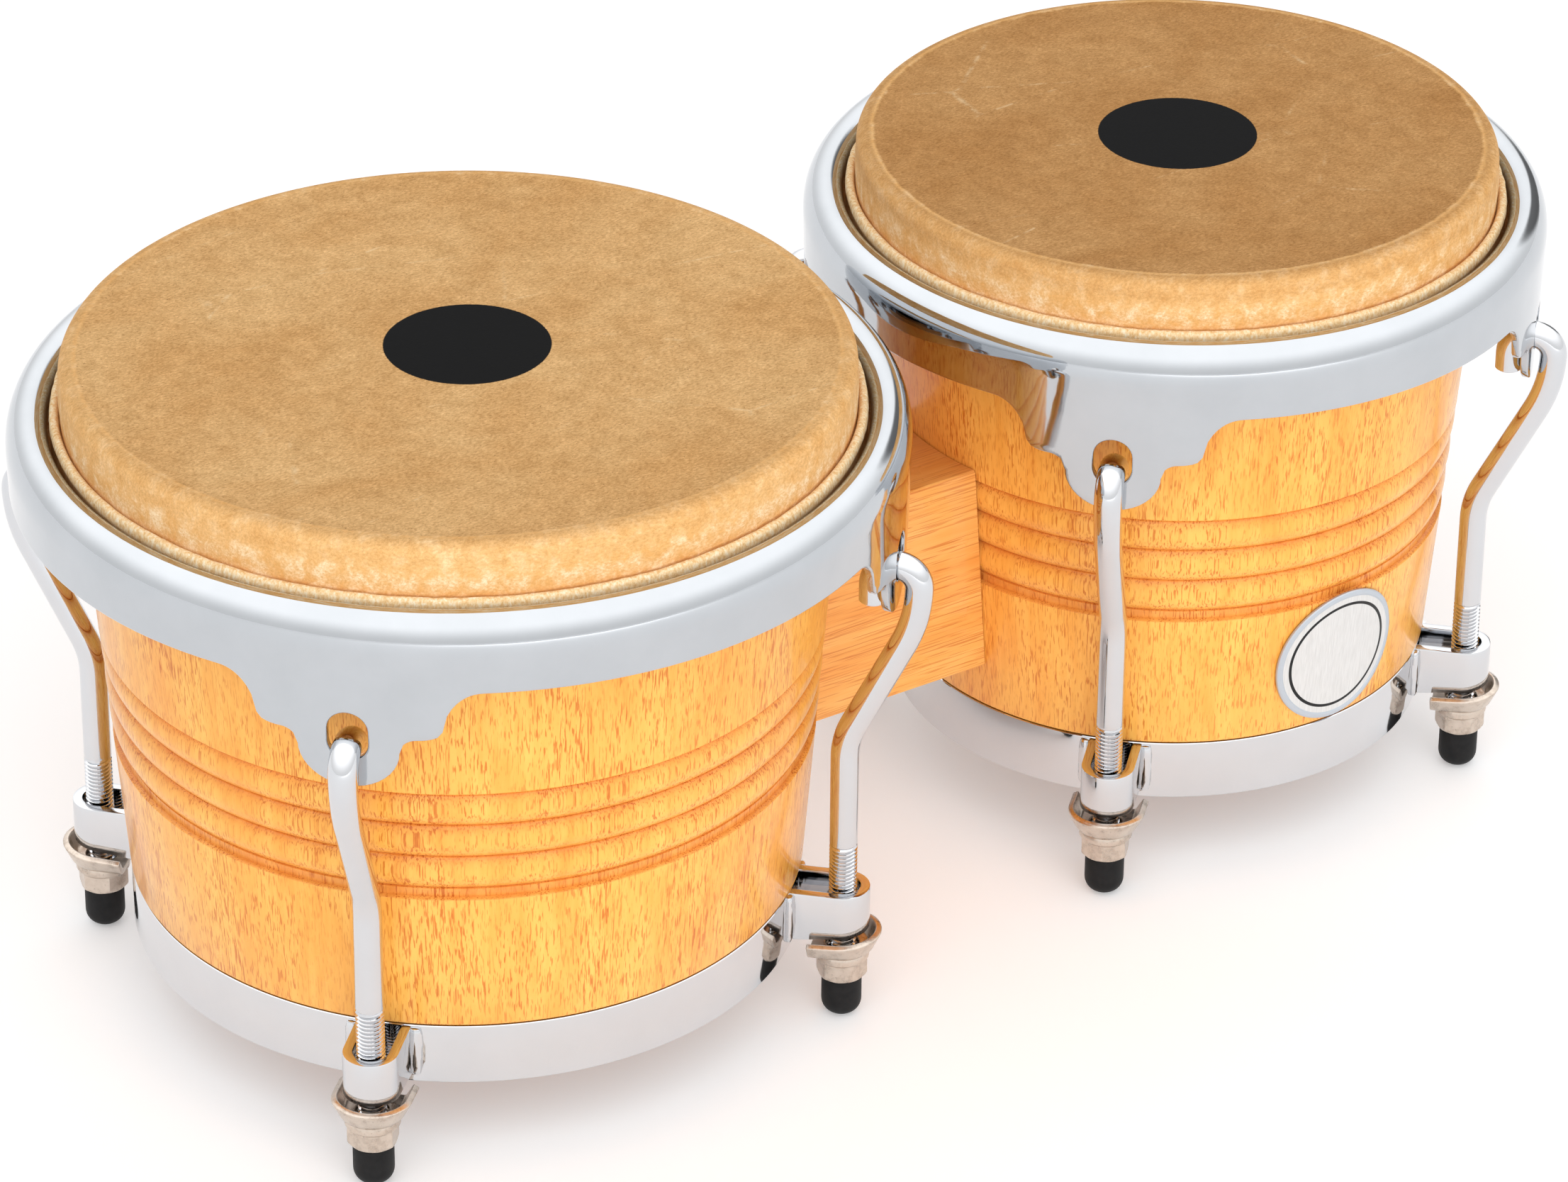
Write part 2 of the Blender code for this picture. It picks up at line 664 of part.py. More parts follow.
def build_lugs(name, ring_radius, finishes, drum, hoop):
    """Hook bolt and cap on the moving hoop; washer and nut at the drum's bracket."""
    for number, angle in enumerate(LUG_ANGLES, start=1):
        place = lug_place(ring_radius, angle)
        turn = math.radians(angle)
        bolt = sweep(hook_path(), BOLT_RADIUS)
        make_object(f"{name}_hook_bolt_{number}", bolt, finishes["chrome"], hoop, place, turn)
        cap = lathe(cap_outline(), 10, False)
        make_object(f"{name}_rubber_cap_{number}", cap, finishes["rubber"], hoop, place, turn)
        build_washer(f"{name}_dished_washer_{number}", finishes["nickel"], drum, place, turn)
        make_object(f"{name}_flange_nut_{number}", flange_nut(), finishes["nickel"], drum, place, turn)


def build_drum(name, axis, ring_radius, facing, finishes):
    drum = make_empty(name + "_drum", (axis, 0, 0))
    hoop = make_empty(name + "_hoop", (0, 0, 0), drum)
    bpy.context.view_layer.update()
    build_shell(name, ring_radius, facing, finishes["wood"], drum)
    build_bottom_ring(name, ring_radius, finishes["chrome"], drum)
    build_plate(name, ring_radius, facing, finishes["steel"], drum)
    make_object(name + "_head_skin", lathe(head_outline(ring_radius), closed=False), finishes["skin"], drum)
    make_object(name + "_tucked_skin", lathe(tuck_outline(ring_radius)), finishes["skin"], hoop)
    make_object(name + "_flesh_ring", lathe(flesh_ring_outline(ring_radius)), finishes["steel"], hoop)
    build_rim(name, ring_radius, finishes["chrome"], hoop)
    build_lugs(name, ring_radius, finishes, drum, hoop)
    return drum


def main():
    clear_scene()
    finishes = {
        "wood": make_material("lacquered_wood", (0.66, 0.33, 0.11), 0.30, 0.0),
        "chrome": make_material("chrome", (0.80, 0.80, 0.82), 0.08, 1.0),
        "nickel": make_material("nickel", (0.66, 0.60, 0.53), 0.25, 1.0),
        "rubber": make_material("black_rubber", (0.02, 0.02, 0.02), 0.75, 0.0),
        "skin": make_material("rawhide", (0.74, 0.52, 0.28), 0.70, 0.0),
        "steel": make_material("zinc_steel", (0.55, 0.56, 0.57), 0.40, 1.0),
        "badge": make_material("brushed_metal", (0.70, 0.70, 0.68), 0.35, 1.0),
    }
    build_drum("large", LARGE_AXIS, LARGE_RING_RADIUS, 1, finishes)
    small = build_drum("small", SMALL_AXIS, SMALL_RING_RADIUS, -1, finishes)
    build_block(finishes["wood"])
    build_through_bolts(finishes["steel"])
    build_badge(finishes["badge"], small)


main()
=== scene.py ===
"""Looks of the bongo drums: fine meshes, procedural materials, studio and camera.

Metres, +Z up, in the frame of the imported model. Drum axes, radii, lug places and main heights are
read from the frame; the constants below are details that are measured from those.
"""

import math

import bmesh
import bpy
from mathutils import Matrix, Vector, noise


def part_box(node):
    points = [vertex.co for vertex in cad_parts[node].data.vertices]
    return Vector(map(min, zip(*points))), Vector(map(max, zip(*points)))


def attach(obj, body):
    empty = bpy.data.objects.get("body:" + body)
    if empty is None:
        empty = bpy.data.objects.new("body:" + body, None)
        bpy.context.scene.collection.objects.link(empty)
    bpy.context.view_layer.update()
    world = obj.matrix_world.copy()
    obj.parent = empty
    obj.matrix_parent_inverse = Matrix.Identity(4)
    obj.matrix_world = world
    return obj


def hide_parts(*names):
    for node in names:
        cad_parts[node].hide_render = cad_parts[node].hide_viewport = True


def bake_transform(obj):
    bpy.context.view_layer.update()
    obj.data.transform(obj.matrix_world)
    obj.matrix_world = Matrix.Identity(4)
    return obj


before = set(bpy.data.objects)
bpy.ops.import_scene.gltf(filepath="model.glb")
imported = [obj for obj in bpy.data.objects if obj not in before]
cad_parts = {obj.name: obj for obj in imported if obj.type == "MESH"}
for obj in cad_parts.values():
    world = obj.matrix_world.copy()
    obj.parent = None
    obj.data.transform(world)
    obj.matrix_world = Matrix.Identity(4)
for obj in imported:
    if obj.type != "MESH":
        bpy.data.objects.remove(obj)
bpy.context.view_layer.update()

TURN = 2 * math.pi
FLOOR_GLOW = 0.25
FLOOR_REACH = 6.0
SMOOTH_ANGLE = math.radians(32)
ROUND = 192
RING_SIDES = 216
HEAD_SIDES = 400
NUT_SIDES = 96

# Wooden shell: wall, taper and the turned band, measured from the bottom ring's outer radius.
SHELL_WALL = 0.0095
SHELL_FOOT_OFFSET = -0.0012
SHELL_FOOT_HEIGHT = 0.025
SHELL_TAPER = 0.0765
SHELL_REBATE = 0.0026
EDGE_ROUND = 0.0027
BEAD_BOTTOM = 0.0893
BEAD_HEIGHT = 0.0104
BEAD_COUNT = 3
BEAD_DEPTH = 0.0020
BEAD_FULLNESS = 1.15
GROOVE_BOTTOM = 0.0862
GROOVE_DEPTH = 0.0014
# Painted shade on the bead faces that turn upwards, added to the groove stain.
BEAD_TOP_SHADE = 0.55
THROUGH_HOLE_RADIUS = 0.0044
BOLT_LABELS = ("lower", "upper")

# Bottom ring, its brackets and their welds.
RING_TOP = 0.0428
RING_WALL = 0.0022
RING_FLANGE = 0.0100
RING_FLANGE_THICKNESS = 0.0015
BRACKET_RADIUS = 0.00785
BRACKET_BAR = 0.0029
BRACKET_TOP = 0.0425
BRACKET_NOSE_BOTTOM = 0.0293
BRACKET_ROOT_BOTTOM = 0.0268
WELD_HALF_WIDTH = 0.0021
WELD_DEPTH = 0.0016

# Rawhide head.
SKIN_THICKNESS = 0.0015
SKIN_OFFSET = 0.01375
SKIN_SHOULDER = 0.0040
SKIN_RIDGE = 0.00015
TUCK_OFFSET = 0.0179
TUCK_HEIGHT = 0.1735
TUCK_RADIUS = 0.00355
TUCK_THICKNESS = 0.0013
LIP_OFFSET = 0.01548
LIP_THICKNESS = 0.0030
FLESH_WIRE_RADIUS = 0.0020
PRINT_RADIUS = 0.0231
LARGE_PRINT_SHIFT = 0.00275

# Tuning rim.
RIM_OFFSET = 0.02896
RIM_SHEET = 0.0023
RIM_FLANGE_OFFSET = 0.0185
RIM_FLANGE_BOTTOM = 0.1781
RIM_CROWN_OFFSET = 0.0225
RIM_CROWN_TOP = 0.1863
RIM_WALL_TOP = 0.1772
RIM_WALL_BOTTOM = 0.1660
RIM_TAB_LINE = 0.1720
RIM_LEAN = 0.025
TAB_TIP = 0.1358
TAB_NOSE = 0.0140
TAB_SHOULDER = 0.0186
TAB_CORNER = 0.0254
TAB_HALF_WIDTH = 0.0366
TAB_LOBE_TOP = 0.1474
TAB_SHOULDER_TOP = 0.1514
TAB_CORNER_RISE = 0.0026
SLOT_BOTTOM = 0.1439
SLOT_TOP = 0.1585
SLOT_HALF_WIDTH = 0.0056

# Hook bolts, measured from the bolt's own axis.
BOLT_RADIUS = 0.00400
THREAD_TOP = 0.0600
THREAD_PITCH = 0.00125
THREAD_DEPTH = 0.00068
THREAD_SIDES = 24
KNEE_HEIGHT = 0.085
KNEE_RADIUS = 0.025
UPPER_BEND_RADIUS = 0.042
HOOK_OFFSET = 0.0137
HOOK_HEIGHT = 0.1419
HOOK_RADIUS = 0.00645
HOOK_TIP = 0.1362
HOOK_TIP_EASE = 0.0006

# Nuts, washers and caps.
NUT_FLAT_RADIUS = 0.0065
NUT_FLANGE_RADIUS = 0.0078
NUT_SKIRT_BOTTOM = 0.0181
NUT_LIFT = 0.0003
NUT_BORE = 0.0045
WASHER_FLOOR_RADIUS = 0.0085
WASHER_LIP_RADIUS = 0.0115
WASHER_LEG = 0.0084
WASHER_SHEET = 0.0019
WASHER_HOLE = 0.0047
WASHER_LIP_END = 0.0274
CAP_RADIUS = 0.00575
CAP_DOME = 0.0048
CAP_BORE = 0.0045
CAP_BORE_BOTTOM = 0.0022

# Through bolts, backing plates and badge.
PLATE_THICKNESS = 0.0025
PLATE_HALF_ANGLE = 9
PLATE_GAP = 0.0011
PLATE_EASE = 0.0004
THROUGH_BOLT_RADIUS = 0.0040
THROUGH_HEAD_RADIUS = 0.0078
THROUGH_HEAD_HEIGHT = 0.0050
THROUGH_THREAD_LENGTH = 0.028
SOCKET_FLAT = 0.0025
SOCKET_DEPTH = 0.0026
BADGE_RADIUS = 0.0215
BADGE_GAP = 0.0004


class Drum:
    """Where one drum stands, as the frame gives it."""

    def __init__(self, name):
        low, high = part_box(name + "_bottom_ring")
        shell_low, shell_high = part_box(name + "_shell")
        self.name = name
        self.axis = (low.x + high.x) / 2
        self.radius = (high.x - low.x) / 2
        self.facing = 1 if name == "large" else -1
        self.ring_bottom = low.z
        self.shell_bottom = shell_low.z
        self.shell_top = shell_high.z
        self.skin_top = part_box(name + "_head_skin")[1].z
        self.lugs = []
        for number in range(1, 5):
            low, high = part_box(f"{name}_rubber_cap_{number}")
            place = (low + high) / 2
            turn = math.atan2(place.y, place.x - self.axis)
            self.lugs.append((number, (place.x, place.y, 0), turn))
        self.lug_offset = math.hypot(place.x - self.axis, place.y) - self.radius

    def shell_radius(self, height):
        """Outer radius of the tapered shell at a height, without its beads."""
        return self.radius + SHELL_FOOT_OFFSET + SHELL_TAPER * (height - SHELL_FOOT_HEIGHT)


# ---------------------------------------------------------------- mesh tools


class Shape:
    """Points and faces of one piece, gathered row by row."""

    def __init__(self):
        self.points = []
        self.faces = []

    def row(self, points):
        first = len(self.points)
        self.points.extend(Vector(point) for point in points)
        return list(range(first, len(self.points)))

    def bridge(self, first, second, wrap=True):
        """Faces between two rows; a row of one point is a pole."""
        count = max(len(first), len(second))
        for index in range(count if wrap else count - 1):
            after = (index + 1) % count
            corners = [first[index % len(first)], first[after % len(first)]]
            corners += [second[after % len(second)], second[index % len(second)]]
            corners = list(dict.fromkeys(corners))
            if len(corners) > 2:
                self.faces.append(corners)

    def stack(self, rows, closed=False, wrap=True):
        for index in range(len(rows) if closed else len(rows) - 1):
            self.bridge(rows[index], rows[(index + 1) % len(rows)], wrap)

    def mesh(self, name):
        made = bpy.data.meshes.new(name)
        made.from_pydata(self.points, [], self.faces)
        bm = bmesh.new()
        bm.from_mesh(made)
        spare = [point for point in bm.verts if not point.link_faces]
        bmesh.ops.delete(bm, geom=spare)
        bmesh.ops.recalc_face_normals(bm, faces=bm.faces)
        bm.to_mesh(made)
        bm.free()
        return made


def polish(mesh):
    """Smooth shading that keeps sharp corners."""
    mesh.shade_smooth()
    mesh.set_sharp_from_angle(angle=SMOOTH_ANGLE)
    return mesh


def put(name, mesh, location=(0, 0, 0), turn=0.0):
    made = bpy.data.objects.new(name, mesh)
    made.location = location
    made.rotation_euler = (0, 0, turn)
    bpy.context.scene.collection.objects.link(made)
    return made


def settle(piece):
    """Turn a piece's modifiers into its own mesh."""
    bpy.context.view_layer.update()
    graph = bpy.context.evaluated_depsgraph_get()
    mesh = bpy.data.meshes.new_from_object(piece.evaluated_get(graph))
    piece.modifiers.clear()
    old = piece.data
    piece.data = mesh
    bpy.data.meshes.remove(old)
    bm = bmesh.new()
    bm.from_mesh(mesh)
    bmesh.ops.dissolve_degenerate(bm, dist=1e-6, edges=bm.edges)
    bm.to_mesh(mesh)
    bm.free()
    polish(mesh)
    return piece


def combine(piece, tools, operation):
    for tool in tools:
        step = piece.modifiers.new("step", "BOOLEAN")
        step.operation = operation
        step.solver = "EXACT"
        step.object = tool
        settle(piece)
        bpy.data.objects.remove(tool, do_unlink=True)
    return piece


def soften(piece, width, segments=2, angle=40):
    edge = piece.modifiers.new("edge", "BEVEL")
    edge.width = width
    edge.segments = segments
    edge.limit_method = "ANGLE"
    edge.angle_limit = math.radians(angle)
    edge.use_clamp_overlap = True
    return settle(piece)


def thicken(piece, thickness):
    sheet = piece.modifiers.new("sheet", "SOLIDIFY")
    sheet.thickness = thickness
    sheet.offset = 0
    sheet.use_even_offset = True
    return settle(piece)


def finish_piece(piece, material, slot, body, *nodes):
    """Give a piece its material, hang it on the body it rides on and hide the model parts it stands for.
    """
    piece.data.materials.clear()
    piece.data.materials.append(material)
    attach(piece, body)
    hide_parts(*nodes)
    return piece


def arc(centre, radius, start, end, steps):
    """Points on an arc in the section plane; angles in degrees from the outward direction."""
    points = []
    for step in range(steps + 1):
        angle = math.radians(start + (end - start) * step / steps)
        points.append((centre[0] + radius * math.cos(angle), centre[1] + radius * math.sin(angle)))
    return points


def eased(outline, reach, steps=3):
    """Closed outline with every corner rounded by a short curve."""
    points = []
    for index, point in enumerate(outline):
        corner = Vector(point)
        before = Vector(outline[index - 1]) - corner
        after = Vector(outline[(index + 1) % len(outline)]) - corner
        start = corner + before.normalized() * min(reach, before.length * 0.45)
        end = corner + after.normalized() * min(reach, after.length * 0.45)
        for step in range(steps + 1):
            share = step / steps
            point = start * (1 - share) ** 2 + corner * 2 * share * (1 - share) + end * share**2
            points.append(tuple(point))
    return points


def strip(path, thickness):
    """Closed outline of a sheet along a path; thickness is a number or one for each point."""
    widths = thickness if isinstance(thickness, list) else [thickness] * len(path)
    left = []
    right = []
    for index, point in enumerate(path):
        before = Vector(path[max(index - 1, 0)])
        after = Vector(path[min(index + 1, len(path) - 1)])
        along = (after - before).normalized()
        side = Vector((-along.y, along.x)) * widths[index] / 2
        left.append(tuple(Vector(point) + side))
        right.append(tuple(Vector(point) - side))
    return left + right[::-1]


def polar(radius, angle, height):
    return radius * math.cos(angle), radius * math.sin(angle), height


def circle(radius, height, sides=ROUND):
    return [polar(radius, TURN * side / sides, height) for side in range(sides)]


def loft(rows, closed=False, wrap=True, capped=False):
    """Shape through rows of points; its end rows are faces where it is capped."""
    shape = Shape()
    made = [shape.row(row) for row in rows]
    shape.stack(made, closed, wrap)
    if capped:
        shape.faces += [made[0], made[-1]]
    return shape


def lathe(outline, sides=ROUND, closed=True):
    """Shape turned about the Z axis from (radius, height) points."""
    rows = [circle(radius, height, sides if radius > 1e-7 else 1) for radius, height in outline]
    return loft(rows, closed)


def lay_along_x(mesh, height):
    """Turn a mesh made about the Z axis to lie along X at a height."""
    mesh.transform(Matrix.Translation((0, 0, height)) @ Matrix.Rotation(math.pi / 2, 4, "Y"))
    return mesh


def bolt_height(label):
    low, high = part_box("through_bolt_" + label)
    return (low.z + high.z) / 2


def bolt_holes(start, end):
    """Cutters for the two through bolts, from one place along X to another."""
    radius = THROUGH_HOLE_RADIUS
    holes = []
    for label in BOLT_LABELS:
        rod = lathe([(0, start), (radius, start), (radius, end), (0, end)], 32, False).mesh("rod")
        holes.append(put("hole", lay_along_x(rod, bolt_height(label))))
    return holes


def wall_holes(drum):
    """Through bolt cutters for the side of a drum that faces the block, the drum at X = 0."""
    return bolt_holes(*sorted(drum.facing * (drum.radius + step) for step in (-0.03, 0.03)))


def wave_noise(x, y, z, scale):
    return noise.noise(Vector((x, y, z)) * scale)


# ---------------------------------------------------------------- material tools


class Nodes:
    """Node tree of a material or world, with short calls to add to it."""

    def __init__(self, owner):
        owner.use_nodes = True
        self.owner = owner
        self.tree = owner.node_tree

    def feed(self, socket, value):
        """Set a socket to a number or colour, or link another node's output to it."""
        if isinstance(value, bpy.types.NodeSocket):
            self.tree.links.new(value, socket)
        elif socket.type == "RGBA":
            socket.default_value = (*value, 1)
        else:
            socket.default_value = value

    def add(self, kind, inputs, **settings):
        """Add a node; its inputs are given by name or number."""
        node = self.tree.nodes.new("ShaderNode" + kind)
        for name, value in settings.items():
            setattr(node, name, value)
        for name, value in inputs.items():
            self.feed(node.inputs[name], value)
        return node

    def place(self, scale=(1, 1, 1), shift=(0, 0, 0), turn=(0, 0, 0)):
        """Coordinates of the piece in its own axes, in metres times the scale."""
        source = self.add("TexCoord", {}).outputs["Object"]
        inputs = {"Vector": source, "Scale": scale, "Location": shift, "Rotation": turn}
        return self.add("Mapping", inputs).outputs["Vector"]

    def noise(self, where, scale, detail=3.0, roughness=0.55, distortion=0.0):
        inputs = {"Vector": where, "Scale": scale, "Detail": detail}
        inputs |= {"Roughness": roughness, "Distortion": distortion}
        return self.add("TexNoise", inputs).outputs["Fac"]

    def ramp(self, source, stops, smooth=False):
        """Colour ramp of (position, grey or colour) stops."""
        node = self.add("ValToRGB", {"Fac": source})
        node.color_ramp.interpolation = "EASE" if smooth else "LINEAR"
        points = node.color_ramp.elements
        while len(points) < len(stops):
            points.new(0.5)
        for point, (position, colour) in zip(points, stops):
            point.position = position
            shade = colour if isinstance(colour, tuple) else (colour, colour, colour)
            point.color = (*shade, 1)
        return node.outputs["Color"]

    def mix(self, share, first, second, blend="MIX"):
        inputs = {0: share, 6: first, 7: second}
        return self.add("Mix", inputs, data_type="RGBA", blend_type=blend).outputs[2]

    def tint(self, share, base, colour):
        """Multiply a base by a colour over part of it."""
        return self.mix(share, base, self.mix(1.0, base, colour, "MULTIPLY"))

    def math(self, operation, first, second=0.0):
        return self.add("Math", {0: first, 1: second}, operation=operation).outputs[0]

    def times(self, first, second):
        return self.math("MULTIPLY", first, second)

    def length(self, vector):
        return self.add("VectorMath", {0: vector}, operation="LENGTH").outputs["Value"]

    def rescale(self, value, low, high, new_low=0.0, new_high=1.0):
        inputs = {"Value": value, "From Min": low, "From Max": high}
        inputs |= {"To Min": new_low, "To Max": new_high}
        return self.add("MapRange", inputs).outputs["Result"]

    def attribute(self, name):
        return self.add("Attribute", {}, attribute_name=name).outputs["Fac"]

    def bump(self, height, distance, strength=1.0, under=None):
        inputs = {"Height": height, "Distance": distance, "Strength": strength}
        if under:
            inputs["Normal"] = under
        return self.add("Bump", inputs).outputs["Normal"]

    def finish(self, colour, roughness, normal, metallic=0.0, **fixed):
        """Feed the shader; a fixed value's name has _ where the socket's has a space."""
        shader = self.tree.nodes["Principled BSDF"]
        inputs = {"Base Color": colour, "Roughness": roughness, "Normal": normal, "Metallic": metallic}
        inputs |= {name.replace("_", " "): value for name, value in fixed.items()}
        for name, value in inputs.items():
            self.feed(shader.inputs[name], value)
        return self.owner


def new_nodes(name):
    return Nodes(bpy.data.materials.new(name))


# ---------------------------------------------------------------- materials


def wood_material(name, along, lemon, orange, pore_depth, pore_stretch):
    """Lacquered open-pored hardwood; along is the axis (0 or 2) the grain runs in."""
    n = new_nodes(name)

    def grain(stretch, lean=0.0):
        scale = [1.0, 1.0, 1.0]
        scale[along] = stretch
        return n.place(tuple(scale), turn=(lean, lean * 0.7, lean * 0.3))

    zones = n.noise(grain(0.10), 30, 3.0, 0.5, 0.6)
    base = n.ramp(zones, [(0.34, orange), (0.50, lemon), (0.66, orange)])
    streaks = n.noise(grain(0.03), 520, 4.0, 0.62, 0.1)
    tone = n.ramp(streaks, [(0.36, (0.94, 0.86, 0.74)), (0.60, (1.0, 1.0, 1.0))])
    base = n.mix(0.8, base, tone, "MULTIPLY")
    sheen = n.noise(grain(0.30), 75, 3.0, 0.55, 0.8)
    tone = n.ramp(sheen, [(0.38, (0.96, 0.88, 0.76)), (0.60, (1.02, 1.06, 1.10))])
    base = n.mix(0.8, base, tone, "MULTIPLY")
    clusters = n.rescale(n.noise(grain(0.30), 75, 2.0, 0.6, 0.5), 0.38, 0.60, 0.35, 0.90)
    flecks = n.rescale(n.noise(grain(pore_stretch), 2400, 1.0, 0.5), 0.565, 0.63)
    flecks = n.times(flecks, clusters)
    lined = n.rescale(n.noise(grain(0.30), 42, 2.0, 0.5), 0.45, 0.57)
    lines = n.rescale(n.noise(grain(0.020, 0.035), 1700, 1.0, 0.5, 0.05), 0.575, 0.64)
    lines = n.times(lines, n.times(lined, 0.85))
    pores = n.times(n.math("MINIMUM", n.math("ADD", flecks, lines), 1.0), pore_depth)
    base = n.tint(pores, base, (0.66, 0.38, 0.22))
    # Stain gathered in the turned grooves, with painted shade in the grooves and on the bead faces that
    # turn upwards; noise makes it uneven.
    worn = n.noise(n.place(), 240, 4.0, 0.65)
    stain_and_shade = n.times(n.attribute("groove"), n.rescale(worn, 0.28, 0.66, 1.05, 0.62))
    base = n.tint(stain_and_shade, base, (0.78, 0.58, 0.58))
    roughness = n.rescale(n.noise(n.place(), 60, 3.0), 0.3, 0.7, 0.26, 0.36)
    relief = n.bump(pores, 0.00008, -0.5)
    relief = n.bump(n.noise(n.place(), 35, 2.0), 0.0006, 0.25, relief)
    return n.finish(base, roughness, relief, Coat_Weight=0.22, Coat_Roughness=0.06,
                    Specular_IOR_Level=0.25)


def mottled_material(name, pattern, stops, roughness, grain, relief, metallic=1.0, **fixed):
    """Surface with one mottle: pattern and grain are noise settings, roughness maps the mottle."""
    n = new_nodes(name)
    mottle = n.noise(n.place(), *pattern)
    bump = n.bump(n.noise(n.place(), *grain), *relief)
    return n.finish(n.ramp(mottle, stops), n.rescale(mottle, *roughness), bump, metallic, **fixed)


def chrome_material(name, dark, light):
    return mottled_material(name, (55, 4.0, 0.6), [(0.3, dark), (0.7, light)],
                            (0.35, 0.7, 0.035, 0.075), (95, 2.0, 0.5), (0.00030, 0.10))


def rubber_material():
    stops = [(0.35, (0.005, 0.005, 0.0055)), (0.75, (0.014, 0.0135, 0.0135))]
    return mottled_material("black_rubber", (420, 4.0, 0.6), stops, (0.3, 0.7, 0.50, 0.64),
                            (2600, 2.0), (0.00006, 0.4), 0.0, Specular_IOR_Level=0.22)


def zinc_material():
    stops = [(0.3, (0.46, 0.47, 0.47)), (0.7, (0.62, 0.63, 0.64))]
    return mottled_material("zinc_steel", (180, 4.0, 0.6, 0.8), stops, (0.3, 0.7, 0.32, 0.48),
                            (1400, 2.0), (0.00008, 0.3))


def nickel_material():
    """Dull nickel plate with small dark specks where it is worn."""
    n = new_nodes("worn_nickel")
    mottle = n.noise(n.place(), 260, 5.0, 0.62)
    stops = [(0.32, (0.44, 0.37, 0.31)), (0.50, (0.63, 0.54, 0.46)), (0.72, (0.70, 0.615, 0.535))]
    specks = n.rescale(n.noise(n.place(), 1500, 2.0, 0.5), 0.64, 0.74, 0.0, 0.5)
    colour = n.mix(specks, n.ramp(mottle, stops), (0.30, 0.25, 0.20))
    relief = n.bump(n.noise(n.place(), 900, 3.0), 0.00010, 0.35)
    return n.finish(colour, n.rescale(mottle, 0.3, 0.7, 0.24, 0.36), relief, 1.0)


def badge_material():
    """Pale satin metal with one plain thin enamelled line near its border."""
    n = new_nodes("brushed_metal")
    brush = n.noise(n.place((1, 1, 0.02)), 2600, 2.0, 0.5)
    colour = n.ramp(brush, [(0.3, (0.64, 0.635, 0.625)), (0.7, (0.74, 0.735, 0.725))])
    reach = n.length(n.place())
    band = n.math("SUBTRACT", reach, BADGE_RADIUS * 0.80)
    ink = n.rescale(n.math("ABSOLUTE", band), 0.00042, 0.00052, 1.0, 0.0)
    colour = n.mix(ink, colour, (0.012, 0.012, 0.013))
    border = n.rescale(reach, BADGE_RADIUS * 0.905, BADGE_RADIUS * 0.915)
    colour = n.mix(border, colour, (0.50, 0.54, 0.59))
    roughness = n.rescale(brush, 0.3, 0.7, 0.30, 0.42)
    relief = n.bump(brush, 0.00005, 0.3)
    return n.finish(colour, roughness, relief, 0.55)


